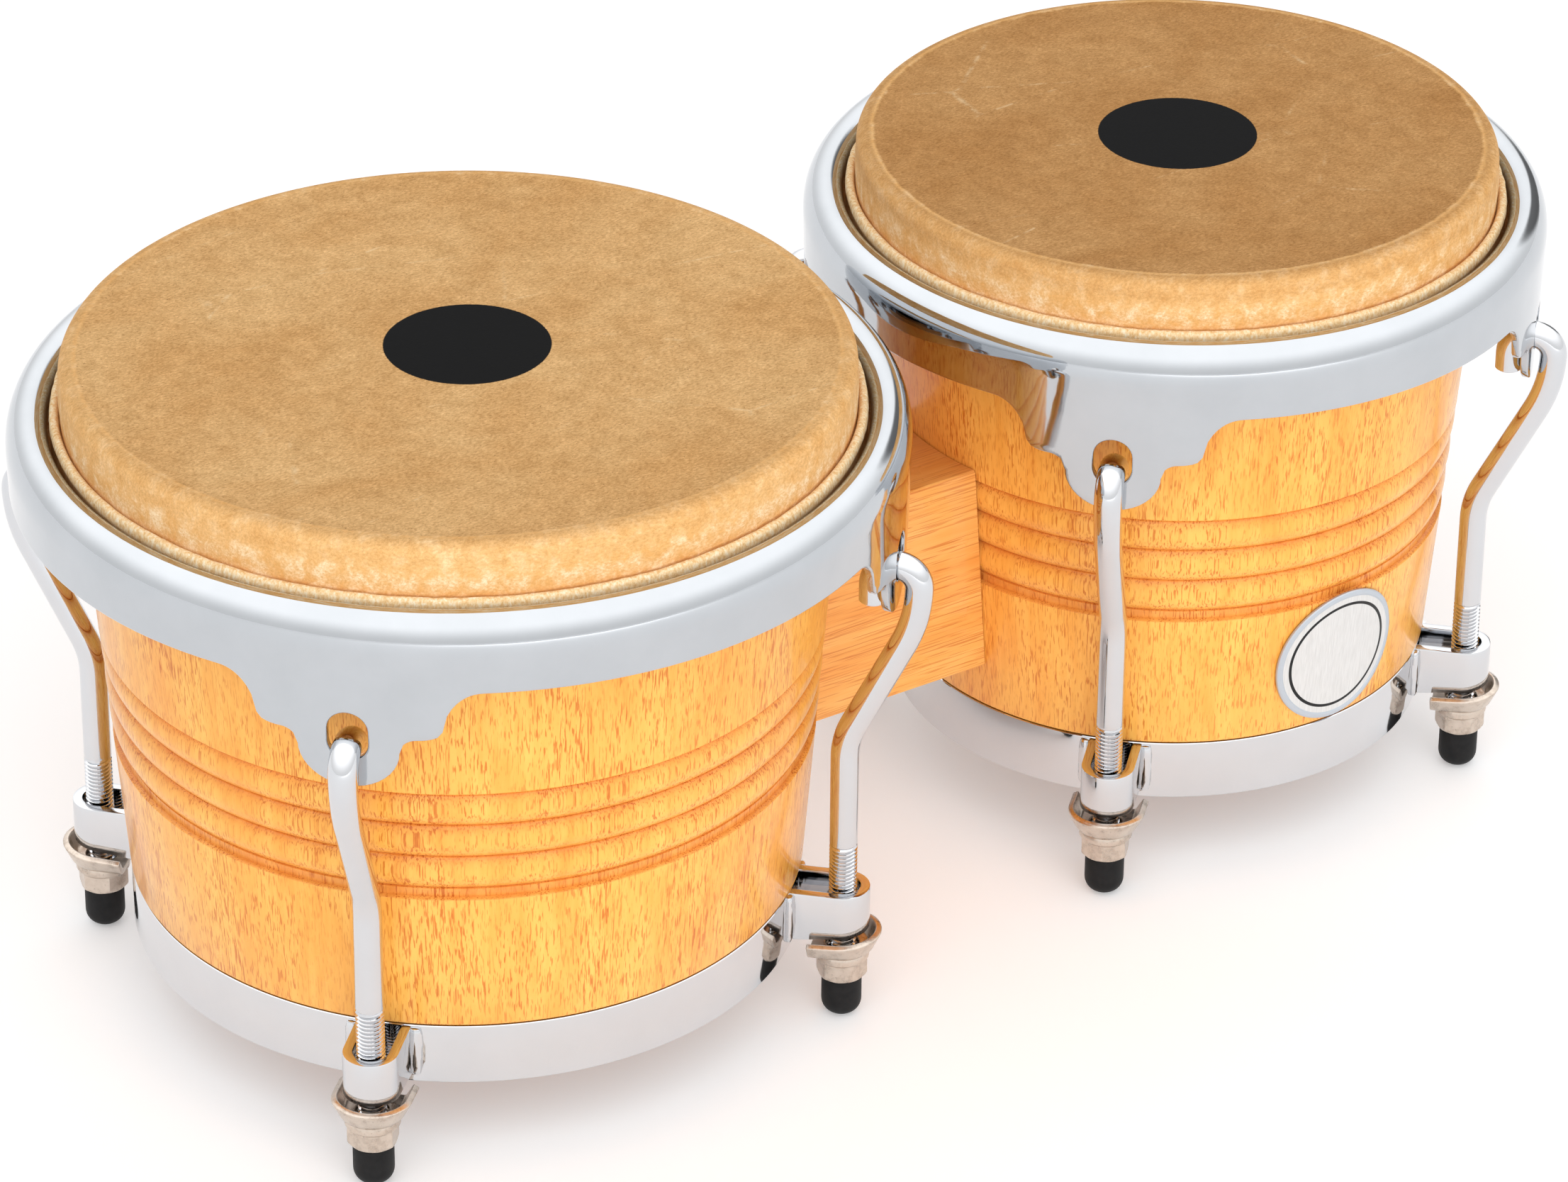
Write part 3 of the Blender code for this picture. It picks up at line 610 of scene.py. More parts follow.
def rawhide_material(drum, light, dark, print_shift):
    """Rawhide: mottled brown face with a printed disc, lighter collar and a pale frayed lip."""
    n = new_nodes(drum.name + "_rawhide")
    centred = (-drum.axis, 0, 0)
    place = n.place(shift=centred)
    fibre_place = n.place((0.55, 1, 1), (-drum.axis * 0.55, 0, 0), (0, 0, 0.25))
    fibres = n.noise(fibre_place, 1500, 5.0, 0.75, 0.15)
    cloud = n.noise(place, 26, 5.0, 0.62, 0.4)
    patches = n.noise(place, 190, 6.0, 0.70, 0.3)
    face = n.ramp(cloud, [(0.34, dark), (0.66, light)])
    tone = n.ramp(patches, [(0.34, (0.87, 0.84, 0.79)), (0.66, (1.10, 1.11, 1.14))])
    face = n.mix(0.95, face, tone, "MULTIPLY")
    stops = [(0.34, (0.60, 0.51, 0.40)), (0.50, (0.99, 0.985, 0.97)), (0.66, (1.38, 1.48, 1.66))]
    hair = n.ramp(fibres, stops)
    face = n.mix(0.62, face, hair, "MULTIPLY")
    specks = n.noise(place, 1700, 1.0, 0.4)
    face = n.mix(n.rescale(specks, 0.70, 0.77, 0.0, 0.6), face, (0.20, 0.085, 0.025))
    inputs = {"Scale": 24, "Vector": n.place((0.4, 1, 1), (3.1, 0.2, 0))}
    veins = n.add("TexVoronoi", inputs, feature="DISTANCE_TO_EDGE")
    scar = n.rescale(veins.outputs["Distance"], 0.0, 0.010, 1.0, 0.0)
    scar = n.times(scar, n.rescale(patches, 0.46, 0.60))
    scar = n.times(scar, n.rescale(cloud, 0.50, 0.60, 0.0, 0.5))
    face = n.mix(scar, face, (0.86, 0.66, 0.40))

    along = n.attribute("along")
    stops = [(0.30, (0.73, 0.38, 0.125)), (0.52, (0.79, 0.46, 0.185)), (0.70, (0.87, 0.60, 0.33))]
    collar = n.mix(0.28, n.ramp(patches, stops), hair, "MULTIPLY")
    wobble = n.math("ADD", along, n.rescale(patches, 0.3, 0.7, -0.012, 0.012))
    zones = [(0.050, 0.0), (0.080, 0.95), (0.115, 0.30), (0.20, 0.65), (0.30, 0.60), (0.42, 1.0)]
    base = n.mix(n.ramp(wobble, zones), face, collar)
    # Pale patches low on the collar: painted highlights of the glossy stretched hide.
    highlight_patches = n.times(n.ramp(wobble, [(0.34, 0.0), (0.50, 1.0), (0.66, 0.7)]),
                    n.rescale(patches, 0.42, 0.66, 0.0, 0.70))
    base = n.mix(highlight_patches, base, n.mix(n.rescale(fibres, 0.4, 0.6), base, (0.95, 0.80, 0.57)))
    # Painted shade down the collar where it turns into the gap beside the lip.
    crease_shade = n.ramp(wobble, [(0.64, 0.0), (0.78, 0.75), (0.90, 0.75)])
    base = n.tint(crease_shade, base, (0.72, 0.48, 0.27))
    lip = n.attribute("lip")
    fray = n.noise(n.place((1, 1, 0.55), centred), 1100, 4.0, 0.65)
    stops = [(0.34, (0.80, 0.50, 0.22)), (0.50, (0.93, 0.68, 0.38)), (0.66, (1.0, 0.88, 0.66))]
    base = n.mix(lip, base, n.ramp(fray, stops))

    flat = n.add("Mapping", {"Location": (-print_shift, 0, 0), "Scale": (1, 1, 0), "Vector": place})
    reach = n.length(flat.outputs["Vector"])
    edge = n.math("ADD", reach, n.rescale(fibres, 0.2, 0.8, -0.0001, 0.0001))
    disc = n.rescale(edge, PRINT_RADIUS - 0.00012, PRINT_RADIUS + 0.00012, 1.0, 0.0)
    ink = n.times(disc, n.math("LESS_THAN", along, 0.02))
    black = n.ramp(fibres, [(0.3, (0.0015, 0.0015, 0.002)), (0.75, (0.006, 0.006, 0.006))])
    base = n.mix(ink, base, black)

    roughness = n.rescale(fibres, 0.3, 0.7, 0.54, 0.66)
    roughness = n.math("ADD", roughness, n.times(lip, 0.3))
    relief = n.bump(fibres, 0.00010, 0.30)
    relief = n.bump(patches, 0.00030, 0.15, relief)
    relief = n.bump(n.times(fray, lip), 0.0004, 0.45, relief)
    return n.finish(base, roughness, relief, Specular_IOR_Level=0.04)


def floor_material():
    n = new_nodes("pale_floor")
    grain = n.noise(n.place(), 900, 3.0)
    colour = n.ramp(grain, [(0.3, (0.875, 0.875, 0.88)), (0.7, (0.895, 0.895, 0.90))])
    relief = n.bump(grain, 0.0001, 0.1)
    return n.finish(colour, 0.7, relief, Specular_IOR_Level=0.2, Emission_Color=(1, 1, 1),
                    Emission_Strength=FLOOR_GLOW)


# ---------------------------------------------------------------- pieces of one drum


def bead_band(drum):
    """Outer profile of the flat groove and the row of half-round beads above it."""
    points = [
        (drum.shell_radius(GROOVE_BOTTOM), GROOVE_BOTTOM - 0.0003),
        (drum.shell_radius(GROOVE_BOTTOM) - 0.0003, GROOVE_BOTTOM),
        (drum.shell_radius(GROOVE_BOTTOM) - GROOVE_DEPTH, GROOVE_BOTTOM + 0.0004),
        (drum.shell_radius(BEAD_BOTTOM) - GROOVE_DEPTH, BEAD_BOTTOM - 0.0003),
    ]
    steps = 14
    for bead in range(BEAD_COUNT):
        for step in range(0 if bead == 0 else 1, steps + 1):
            turn = math.pi * step / steps
            height = BEAD_BOTTOM + BEAD_HEIGHT * (bead + (1 - math.cos(turn)) / 2)
            depth = BEAD_DEPTH * (1 - math.sin(turn) ** BEAD_FULLNESS)
            points.append((drum.shell_radius(height) - depth, height))
    height = BEAD_BOTTOM + BEAD_HEIGHT * BEAD_COUNT + 0.0006
    points.append((drum.shell_radius(height) - 0.0003, height - 0.0001))
    points.append((drum.shell_radius(height), height + 0.0003))
    return points


def shell_outline(drum):
    rebate = drum.radius - SHELL_REBATE
    foot = RING_TOP + 0.0008
    crown = (drum.shell_radius(drum.shell_top - EDGE_ROUND) - EDGE_ROUND, drum.shell_top - EDGE_ROUND)
    inner_foot = drum.shell_radius(drum.shell_bottom) - SHELL_WALL
    inner_top = drum.shell_radius(drum.shell_top) - SHELL_WALL
    points = [(inner_foot + 0.001, drum.shell_bottom), (rebate, drum.shell_bottom)]
    points += [(rebate, RING_TOP + 0.0004), (drum.shell_radius(foot) - 0.0005, RING_TOP + 0.0004)]
    points += [(drum.shell_radius(foot), foot + 0.0004)]
    points += bead_band(drum)
    points += arc(crown, EDGE_ROUND, 0, 90, 8)
    points += [(inner_top + 0.001, drum.shell_top - 0.0042), (inner_top, drum.shell_top - 0.0056)]
    points.append((inner_foot, drum.shell_bottom + 0.001))
    return points


def mark_grooves(mesh, drum):
    """Store how deep each point of the turned band lies below the shell's plain taper, plus painted
    shade on its faces that turn upwards; the wood darkens by it as stain and painted shade.
    """
    layer = mesh.attributes.new("groove", "FLOAT", "POINT")
    top = BEAD_BOTTOM + BEAD_HEIGHT * BEAD_COUNT + 0.001
    for index, vertex in enumerate(mesh.vertices):
        depth = 0.0
        radius = math.hypot(vertex.co.x, vertex.co.y)
        if GROOVE_BOTTOM - 0.0002 < vertex.co.z < top and radius > drum.radius - 0.004:
            depth = (drum.shell_radius(vertex.co.z) - radius) / BEAD_DEPTH
            # painted shade on the bead faces that turn upwards
            depth += BEAD_TOP_SHADE * max(0.0, vertex.normal.z - 0.08)
        layer.data[index].value = min(1.0, max(0.0, depth))


def build_shell(drum, material):
    shell = put(drum.name + "_turned_shell", lathe(shell_outline(drum)).mesh("shell"))
    combine(shell, wall_holes(drum), "DIFFERENCE")
    mark_grooves(shell.data, drum)
    shell.location.x = drum.axis
    return finish_piece(shell, material, "wood_lacquer", "shells", drum.name + "_shell")


def bracket_bottom(drum, x):
    share = (BRACKET_RADIUS - x) / (BRACKET_RADIUS + drum.lug_offset)
    return BRACKET_NOSE_BOTTOM + (BRACKET_ROOT_BOTTOM - BRACKET_NOSE_BOTTOM) * share


def u_stations(leg, legs=3, bend=20):
    """Stations round a U that opens towards the drum: base point and outward direction."""
    stations = [(Vector((-leg + leg * step / legs, 0)), Vector((0, -1))) for step in range(legs)]
    for step in range(bend + 1):
        angle = math.pi * (step / bend - 0.5)
        stations.append((Vector((0, 0)), Vector((math.cos(angle), math.sin(angle)))))
    stations += [(Vector((-leg * step / legs, 0)), Vector((0, 1))) for step in range(1, legs + 1)]
    return stations


def bracket_shape(drum):
    rows = []
    for base, out in u_stations(drum.lug_offset + RING_WALL * 0.6):
        inner = base + out * (BRACKET_RADIUS - BRACKET_BAR)
        outer = base + out * BRACKET_RADIUS
        section = [(0.0, bracket_bottom(drum, inner.x)), (BRACKET_BAR, bracket_bottom(drum, outer.x))]
        section += [(BRACKET_BAR, BRACKET_TOP), (0.0, BRACKET_TOP)]
        row = []
        for across, height in eased(section, 0.0006, 2):
            point = inner + out * across
            row.append((point.x, point.y, height))
        rows.append(row)
    return loft(rows, capped=True)


def weld_shape(drum, side, seed):
    """Irregular bead up the corner between a bracket's leg and the ring."""
    across = BRACKET_RADIUS + WELD_HALF_WIDTH * 0.45
    depth = math.sqrt(drum.radius**2 - across**2) - drum.radius - drum.lug_offset
    low = BRACKET_ROOT_BOTTOM + 0.0004
    high = BRACKET_TOP - 0.0003
    steps = 16
    rows = []
    for step in range(steps + 1):
        share = step / steps
        height = low + (high - low) * (1 - math.cos(math.pi * share)) / 2
        swell = max(0.0, math.sin(math.pi * share)) ** 0.28
        if swell < 0.05:
            rows.append([(depth + 0.0002, side * across, height)])
            continue
        row = []
        for corner in range(14):
            angle = TURN * corner / 14
            wave = Vector((math.cos(angle), math.sin(angle) + seed, height * 420))
            wave = 1 + 0.13 * noise.noise(wave)
            x = depth + 0.0002 + WELD_DEPTH * swell * wave * math.cos(angle)
            y = side * (across + WELD_HALF_WIDTH * swell * wave * math.sin(angle))
            row.append((x, y, height))
        rows.append(row)
    return loft(rows)


def ring_outline(drum):
    inner = drum.radius - RING_WALL
    flange = drum.radius - RING_FLANGE
    shelf = drum.ring_bottom + RING_FLANGE_THICKNESS
    corners = [(drum.radius, drum.ring_bottom), (drum.radius, RING_TOP), (inner, RING_TOP)]
    corners += [(inner, shelf), (flange, shelf), (flange, drum.ring_bottom)]
    return eased(corners, 0.0006, 3)


def build_ring(drum, material):
    mesh = lathe(ring_outline(drum), RING_SIDES).mesh("ring")
    ring = put(drum.name + "_welded_ring", mesh, (drum.axis, 0, 0))
    parts = []
    for number, place, turn in drum.lugs:
        parts.append(put("bracket", bracket_shape(drum).mesh("bracket"), place, turn))
        for side in (-1, 1):
            weld = weld_shape(drum, side, number * 3.7 + side + drum.radius * 100)
            parts.append(put("weld", weld.mesh("weld"), place, turn))
    combine(ring, parts, "UNION")
    return finish_piece(ring, material, "chrome", "shells", drum.name + "_bottom_ring")


def tab_edge(offset):
    """Height of the rim's lower edge at an arc length from a lug."""
    edge = abs(offset)
    if edge < TAB_NOSE:
        return TAB_LOBE_TOP - (TAB_LOBE_TOP - TAB_TIP) * math.sqrt(1 - (edge / TAB_NOSE) ** 2)
    if edge < TAB_SHOULDER:
        fall = (TAB_SHOULDER - edge) / (TAB_SHOULDER - TAB_NOSE)
        return TAB_LOBE_TOP + (TAB_SHOULDER_TOP - TAB_LOBE_TOP) * math.sqrt(max(0.0, 1 - fall * fall))
    start = TAB_SHOULDER_TOP + TAB_CORNER_RISE
    if edge < TAB_CORNER:
        rise = (edge - TAB_SHOULDER) / (TAB_CORNER - TAB_SHOULDER)
        return TAB_SHOULDER_TOP + TAB_CORNER_RISE * (1 - math.sqrt(max(0.0, 1 - rise * rise)))
    if edge < TAB_HALF_WIDTH:
        fall = (TAB_HALF_WIDTH - edge) / (TAB_HALF_WIDTH - TAB_CORNER)
        return start + (RIM_WALL_BOTTOM - start) * (max(0.0, 1 - fall**2.2)) ** 0.6
    return RIM_WALL_BOTTOM


def spaced(start, end, steps):
    return [start + (end - start) * step / steps for step in range(steps + 1)]


def rim_columns(drum):
    """(angle, arc length from the nearest lug) of each column round the rim."""
    wall = drum.radius + RIM_OFFSET
    half = spaced(0, TAB_NOSE, 9)[:-1] + spaced(TAB_NOSE, TAB_SHOULDER, 5)[:-1]
    half += spaced(TAB_SHOULDER, TAB_CORNER, 5)[:-1] + spaced(TAB_CORNER, TAB_HALF_WIDTH, 9)
    spare = TURN / 4 - 2 * TAB_HALF_WIDTH / wall
    columns = []
    for number, place, turn in drum.lugs:
        for offset in [-step for step in half[:0:-1]] + half:
            columns.append((turn + offset / wall, offset))
        for step in range(1, 22):
            columns.append((turn + TAB_HALF_WIDTH / wall + spare * step / 22, 1.0))
    return columns


def rim_wall_radius(drum, height):
    return drum.radius + RIM_OFFSET - RIM_SHEET / 2 - RIM_LEAN * max(0.0, RIM_WALL_TOP - height)


def rim_upper_section(drum):
    """Middle line of the rim's sheet from the tab line over the crown to the inner flange."""
    wall = rim_wall_radius(drum, RIM_WALL_TOP)
    crown = drum.radius + RIM_CROWN_OFFSET
    flange = drum.radius + RIM_FLANGE_OFFSET
    points = [(rim_wall_radius(drum, RIM_TAB_LINE), RIM_TAB_LINE)]
    points.append((rim_wall_radius(drum, 0.1746), 0.1746))
    for step in range(15):
        angle = math.pi / 2 * step / 14
        rise = (RIM_CROWN_TOP - RIM_WALL_TOP) * math.sin(angle)
        points.append((crown + (wall - crown) * math.cos(angle), RIM_WALL_TOP + rise))
    drop = 0.0040
    for step in range(1, 9):
        angle = math.pi / 2 * step / 8
        across = flange + (crown - flange) * (1 - math.sin(angle))
        points.append((across, RIM_CROWN_TOP - drop * (1 - math.cos(angle))))
    points.append((flange, 0.1800))
    points.append((flange, RIM_FLANGE_BOTTOM))
    return points


def slot_edge(direction, middle):
    """Point of the oval slot in a direction from its centre, as (arc length, height)."""
    straight = (SLOT_TOP - SLOT_BOTTOM) / 2 - SLOT_HALF_WIDTH
    across, up = abs(direction.x), abs(direction.y)
    reach = SLOT_HALF_WIDTH / across if across > 1e-9 else math.inf
    if reach * up > straight:
        reach = straight * up + math.sqrt(SLOT_HALF_WIDTH**2 - (straight * across) ** 2)
    return direction * reach + middle


def build_rim(drum, material):
    """Sheet rim drawn on its middle surface, with a ring of faces round each slot."""
    shape = Shape()
    wall = drum.radius + RIM_OFFSET
    levels = 8
    columns = rim_columns(drum)

    def on_wall(angle, height):
        return polar(rim_wall_radius(drum, height), angle, height)

    uppers = []
    for angle, offset in columns:
        section = rim_upper_section(drum)
        uppers.append(shape.row([polar(radius, angle, height) for radius, height in section]))
    shape.stack(uppers, True, False)
    lowers = []
    for (angle, offset), upper in zip(columns, uppers):
        if abs(offset) < TAB_NOSE - 1e-6:
            lowers.append(None)
            continue
        heights = spaced(tab_edge(offset), RIM_TAB_LINE, levels)[:-1]
        lowers.append(shape.row([on_wall(angle, height) for height in heights]) + [upper[0]])
    for index, lower in enumerate(lowers):
        after = lowers[(index + 1) % len(lowers)]
        if lower and after:
            shape.bridge(lower, after, False)
    middle = Vector((0, (SLOT_TOP + SLOT_BOTTOM) / 2))
    for number, place, turn in drum.lugs:
        nose = [i for i, c in enumerate(columns)
                if abs(c[1]) < TAB_NOSE - 1e-6 and abs(c[0] - turn) < 0.5]
        left, right = lowers[nose[0] - 1], lowers[nose[-1] + 1]
        bottom = []
        for step in range(1, 20):
            offset = -TAB_NOSE * math.cos(math.pi * step / 20)
            bottom.append(on_wall(turn + offset / wall, tab_edge(offset)))
        loop = left[::-1] + shape.row(bottom) + right + [uppers[i][0] for i in nose[::-1]]
        flat = []
        for corner in loop:
            point = shape.points[corner]
            offset = (math.atan2(point.y, point.x) - turn + math.pi) % TURN - math.pi
            flat.append(Vector((offset * wall, point.z)))
        rings = [loop]
        for share in (0.30, 0.58, 0.80, 0.93, 1.0):
            row = []
            for point in flat:
                edge = slot_edge((point - middle).normalized(), middle)
                spot = point.lerp(edge, share)
                row.append(on_wall(turn + spot.x / wall, spot.y))
            rings.append(shape.row(row))
        shape.stack(rings)
    rim = put(drum.name + "_tuning_rim", shape.mesh("rim"), (drum.axis, 0, 0))
    thicken(rim, RIM_SHEET)
    soften(rim, 0.0006, 3, 50)
    return finish_piece(rim, material, "chrome", drum.name + "_hoop", drum.name + "_rim")


def head_path(drum):
    """Middle line of the skin from the drum's axis to the top of the lip, with its thickness."""
    outer = drum.radius + SKIN_OFFSET
    face = drum.skin_top - SKIN_THICKNESS / 2 - SKIN_RIDGE
    shoulder = (outer - SKIN_SHOULDER, drum.skin_top - SKIN_SHOULDER)
    bend = SKIN_SHOULDER - SKIN_THICKNESS / 2
    path = [((shoulder[0] - 0.003) * step / 14, face) for step in range(15)]
    path.append((shoulder[0] - 0.0017, face + SKIN_RIDGE * 0.4))
    path.append((shoulder[0] - 0.0007, face + SKIN_RIDGE))
    path += [(r, z - SKIN_RIDGE * 0.3) for r, z in arc(shoulder, bend, 84, 6, 9)]
    collar = shoulder[0] + bend
    path += [(collar + 0.00005, 0.1960), (collar + 0.00022, 0.1935), (collar + 0.00026, 0.1912)]
    path += [(collar + 0.00010, 0.1888), (collar - 0.00005, 0.1862), (collar + 0.0004, 0.1815)]
    path += [(collar + 0.0010, 0.1770)]
    centre = (drum.radius + TUCK_OFFSET, TUCK_HEIGHT)
    path += arc(centre, TUCK_RADIUS, 180, 475, 22)
    turned = len(path)
    foot = path[-1]
    lip = drum.radius + LIP_OFFSET
    path += [(foot[0] - 0.00045, foot[1] + 0.0012), (lip - 0.0006, 0.1800), (lip - 0.0004, 0.1830)]
    path += [(lip - 0.0002, 0.1850), (lip - 0.0001, 0.1862), (lip, 0.1869), (lip + 0.0001, 0.1873)]
    widths = [SKIN_THICKNESS] * (turned - 23)
    widths += [TUCK_THICKNESS] * (len(path) - len(widths))
    for back, width in enumerate((0.0009, 0.0019, 0.0023, LIP_THICKNESS, 0.0020, 0.0016), start=1):
        widths[-back] = width
    return path, widths


def build_head(drum, material):
    """One sheet of rawhide: face, collar, the turn round the flesh ring and the frayed lip."""
    path, widths = head_path(drum)
    outline = strip(path, widths)
    count = len(path)
    travelled = [0.0]
    for first, second in zip(path, path[1:]):
        travelled.append(travelled[-1] + math.dist(first, second))
    ridge = drum.radius + SKIN_OFFSET - SKIN_SHOULDER - 0.003
    shape = Shape()
    rows = []
    along = []
    lips = []
    for index, (radius, height) in enumerate(outline):
        at = index if index < count else 2 * count - 1 - index
        share = max(0.0, travelled[at] - ridge) / 0.030
        lip = max(0.0, min(1.0, (height - 0.1820) / 0.0035)) if at > count - 9 else 0.0
        if radius < 1e-7:
            rows.append(shape.row([(0, 0, height)]))
            along.append(share)
            lips.append(0.0)
            continue
        row = []
        for x, y, z in circle(1.0, 0.0, HEAD_SIDES):
            long_wave = wave_noise(x * drum.radius, y * drum.radius, height, 70)
            short_wave = wave_noise(x * drum.radius + 3, y * drum.radius, height, 420)
            drift = lip * (0.00014 * long_wave + 0.00016 * short_wave)
            lift = lip * (0.00035 * long_wave + 0.00030 * short_wave) * (height > 0.1855)
            sag = 0.00006 * wave_noise(x * radius + 5, y * radius, 0, 24) * (share == 0)
            row.append(((radius + drift) * x, (radius + drift) * y, height + lift - abs(sag)))
        rows.append(shape.row(row))
        along += [share] * HEAD_SIDES
        lips += [lip] * HEAD_SIDES
    shape.stack(rows, True)
    mesh = shape.mesh("head")
    for name, values in (("along", along), ("lip", lips)):
        layer = mesh.attributes.new(name, "FLOAT", "POINT")
        layer.data.foreach_set("value", values)
    mesh.shade_smooth()
    mesh.materials.append(material)
    head = put(drum.name + "_rawhide_head", mesh, (drum.axis, 0, 0))
    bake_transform(head)
    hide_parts(drum.name + "_head_skin", drum.name + "_tucked_skin")
    return head


def build_flesh_ring(drum, material):
    outline = arc((drum.radius + TUCK_OFFSET, TUCK_HEIGHT), FLESH_WIRE_RADIUS, 0, 340, 17)
    mesh = polish(lathe(outline, 160).mesh("flesh_ring"))
    ring = put(drum.name + "_flesh_hoop", mesh, (drum.axis, 0, 0))
    return finish_piece(ring, material, "zinc_steel", drum.name + "_hoop", drum.name + "_flesh_ring")


# ---------------------------------------------------------------- lug hardware


def thread_rows(shape, radius, bottom, top, sides=THREAD_SIDES):
    """Helical thread between two plain rings; gives the first and the last ring."""
    profile = ((0.0, 0.0), (0.16, 0.0), (0.50, 1.0), (0.68, 1.0))
    turns = int((top - bottom) / THREAD_PITCH) - 2
    start = bottom + THREAD_PITCH * 0.5
    rows = []
    for level in range(turns * 4 + 5):
        share, depth = profile[level % 4]
        lift = start + THREAD_PITCH * (level // 4 + share)
        row = []
        for side in range(sides):
            height = lift + THREAD_PITCH * side / sides
            fade = min(1.0, max(0.0, (start + THREAD_PITCH * turns - height) / (THREAD_PITCH * 1.5)))
            row.append(polar(radius - THREAD_DEPTH * depth * fade, TURN * side / sides, height))
        rows.append(shape.row(row))
    last = turns * 4
    for level in range(last):
        shape.bridge(rows[level], rows[level + 1], False)
        corners = [rows[level][-1], rows[level + 4][0], rows[level + 5][0], rows[level + 1][-1]]
        shape.faces.append(corners)
    low = shape.row(circle(radius - 0.0006, bottom, sides))
    high = shape.row(circle(radius, start + THREAD_PITCH * (turns + 1.3), sides))
    shape.bridge(low, rows[0], False)
    shape.faces.append([low[-1], low[0], *(rows[level][0] for level in range(5)), rows[0][-1]])
    shape.bridge(rows[last], high, False)
    ends = [rows[last + step][0] for step in range(5)]
    shape.faces.append([high[-1], high[0], *ends, rows[last][-1]])
    return low, high


def hook_path(start):
    """Centre line of a hook bolt above its thread, as (outward, up) from the bolt's axis."""
    rise = HOOK_HEIGHT - KNEE_HEIGHT
    reach = HOOK_OFFSET + HOOK_RADIUS
    bends = KNEE_RADIUS + UPPER_BEND_RADIUS
    spread = math.hypot(rise, bends - reach)
    lean = math.degrees(math.atan2(rise, bends - reach) - math.acos(bends / spread))
    path = [(0, start + 0.004), (0, KNEE_HEIGHT - 0.006)]
    path += arc((KNEE_RADIUS, KNEE_HEIGHT), KNEE_RADIUS, 180, 180 - lean, 9)
    path += arc((reach - UPPER_BEND_RADIUS, HOOK_HEIGHT), UPPER_BEND_RADIUS, -lean, 0, 9)
    path += arc((HOOK_OFFSET, HOOK_HEIGHT), HOOK_RADIUS, 9, 180, 19)
    path.append((HOOK_OFFSET - HOOK_RADIUS, (HOOK_HEIGHT + HOOK_TIP) / 2))
    path.append((HOOK_OFFSET - HOOK_RADIUS, HOOK_TIP + HOOK_TIP_EASE))
    return path


def hook_bolt_mesh(foot):
    shape = Shape()
    low, high = thread_rows(shape, BOLT_RADIUS, foot, THREAD_TOP)
    shape.faces.append(low)
    path = hook_path(shape.points[high[0]].z)
    rows = [high]
    reaches = [BOLT_RADIUS] * len(path) + [BOLT_RADIUS - 0.0004, BOLT_RADIUS - 0.0013]
    path += [(path[-1][0], HOOK_TIP + 0.0002), (path[-1][0], HOOK_TIP)]
    for index, (x, z) in enumerate(path):
        before = Vector(path[max(index - 1, 0)])
        after = Vector(path[min(index + 1, len(path) - 1)])
        along = (after - before).normalized()
        side = Vector((along.y, 0, -along.x))
        row = []
        for corner in range(THREAD_SIDES):
            angle = TURN * corner / THREAD_SIDES
            offset = side * math.cos(angle) + Vector((0, math.sin(angle), 0))
            row.append(Vector((x, 0, z)) + offset * reaches[index])
        rows.append(shape.row(row))
    shape.stack(rows)
    shape.faces.append(rows[-1])
    return polish(shape.mesh("hook_bolt"))


def hexagon(angle, flat):
    """Reach of a hexagon with eased corners at an angle; a corner lies at angle 0."""
    within = (angle + math.pi / 6) % (math.pi / 3) - math.pi / 6
    return min(flat / math.cos(math.pi / 6 - abs(within)), flat * 1.135)


def nut_mesh(bottom, top, skirt=None, bore=NUT_BORE):
    """Chamfered hexagon nut, with a conical flange above the skirt height where one is given."""
    steps = (0.0, 0.00015, 0.0004, 0.0007, 0.0011, 0.0018)
    heights = [bottom + step for step in steps]
    if skirt:
        heights += [skirt - 0.0012] + spaced(skirt, top - 0.0018, 6)
        heights += [top - step for step in (0.0012, 0.0005, 0.0001, 0.0)]
    else:
        heights += [top - step for step in steps[::-1]]
    rows = []
    for height in heights:
        row = []
        for side in range(NUT_SIDES):
            angle = TURN * side / NUT_SIDES
            chamfer = NUT_FLAT_RADIUS * 0.97 + (height - bottom) * 1.25
            reach = min(hexagon(angle, NUT_FLAT_RADIUS), chamfer)
            if skirt:
                cone = NUT_FLAT_RADIUS - 0.0002 + max(0.0, height - skirt) * 1.1
                cone = min(cone, NUT_FLANGE_RADIUS - max(0.0, height - top + 0.0006) ** 1.5 * 18)
                reach = max(reach, cone) if height >= skirt else reach
                reach = min(reach, NUT_FLANGE_RADIUS)
            else:
                reach = min(reach, NUT_FLAT_RADIUS * 0.97 + (top - height) * 1.25)
            row.append(polar(reach, angle, height))
        rows.append(row)
    ease = 0.0005
    inside = ((bore + ease, top), (bore, top - ease), (bore, bottom + ease), (bore + ease, bottom))
    rows += [circle(reach, height, NUT_SIDES) for reach, height in inside]
    return polish(loft(rows, True).mesh("nut"))


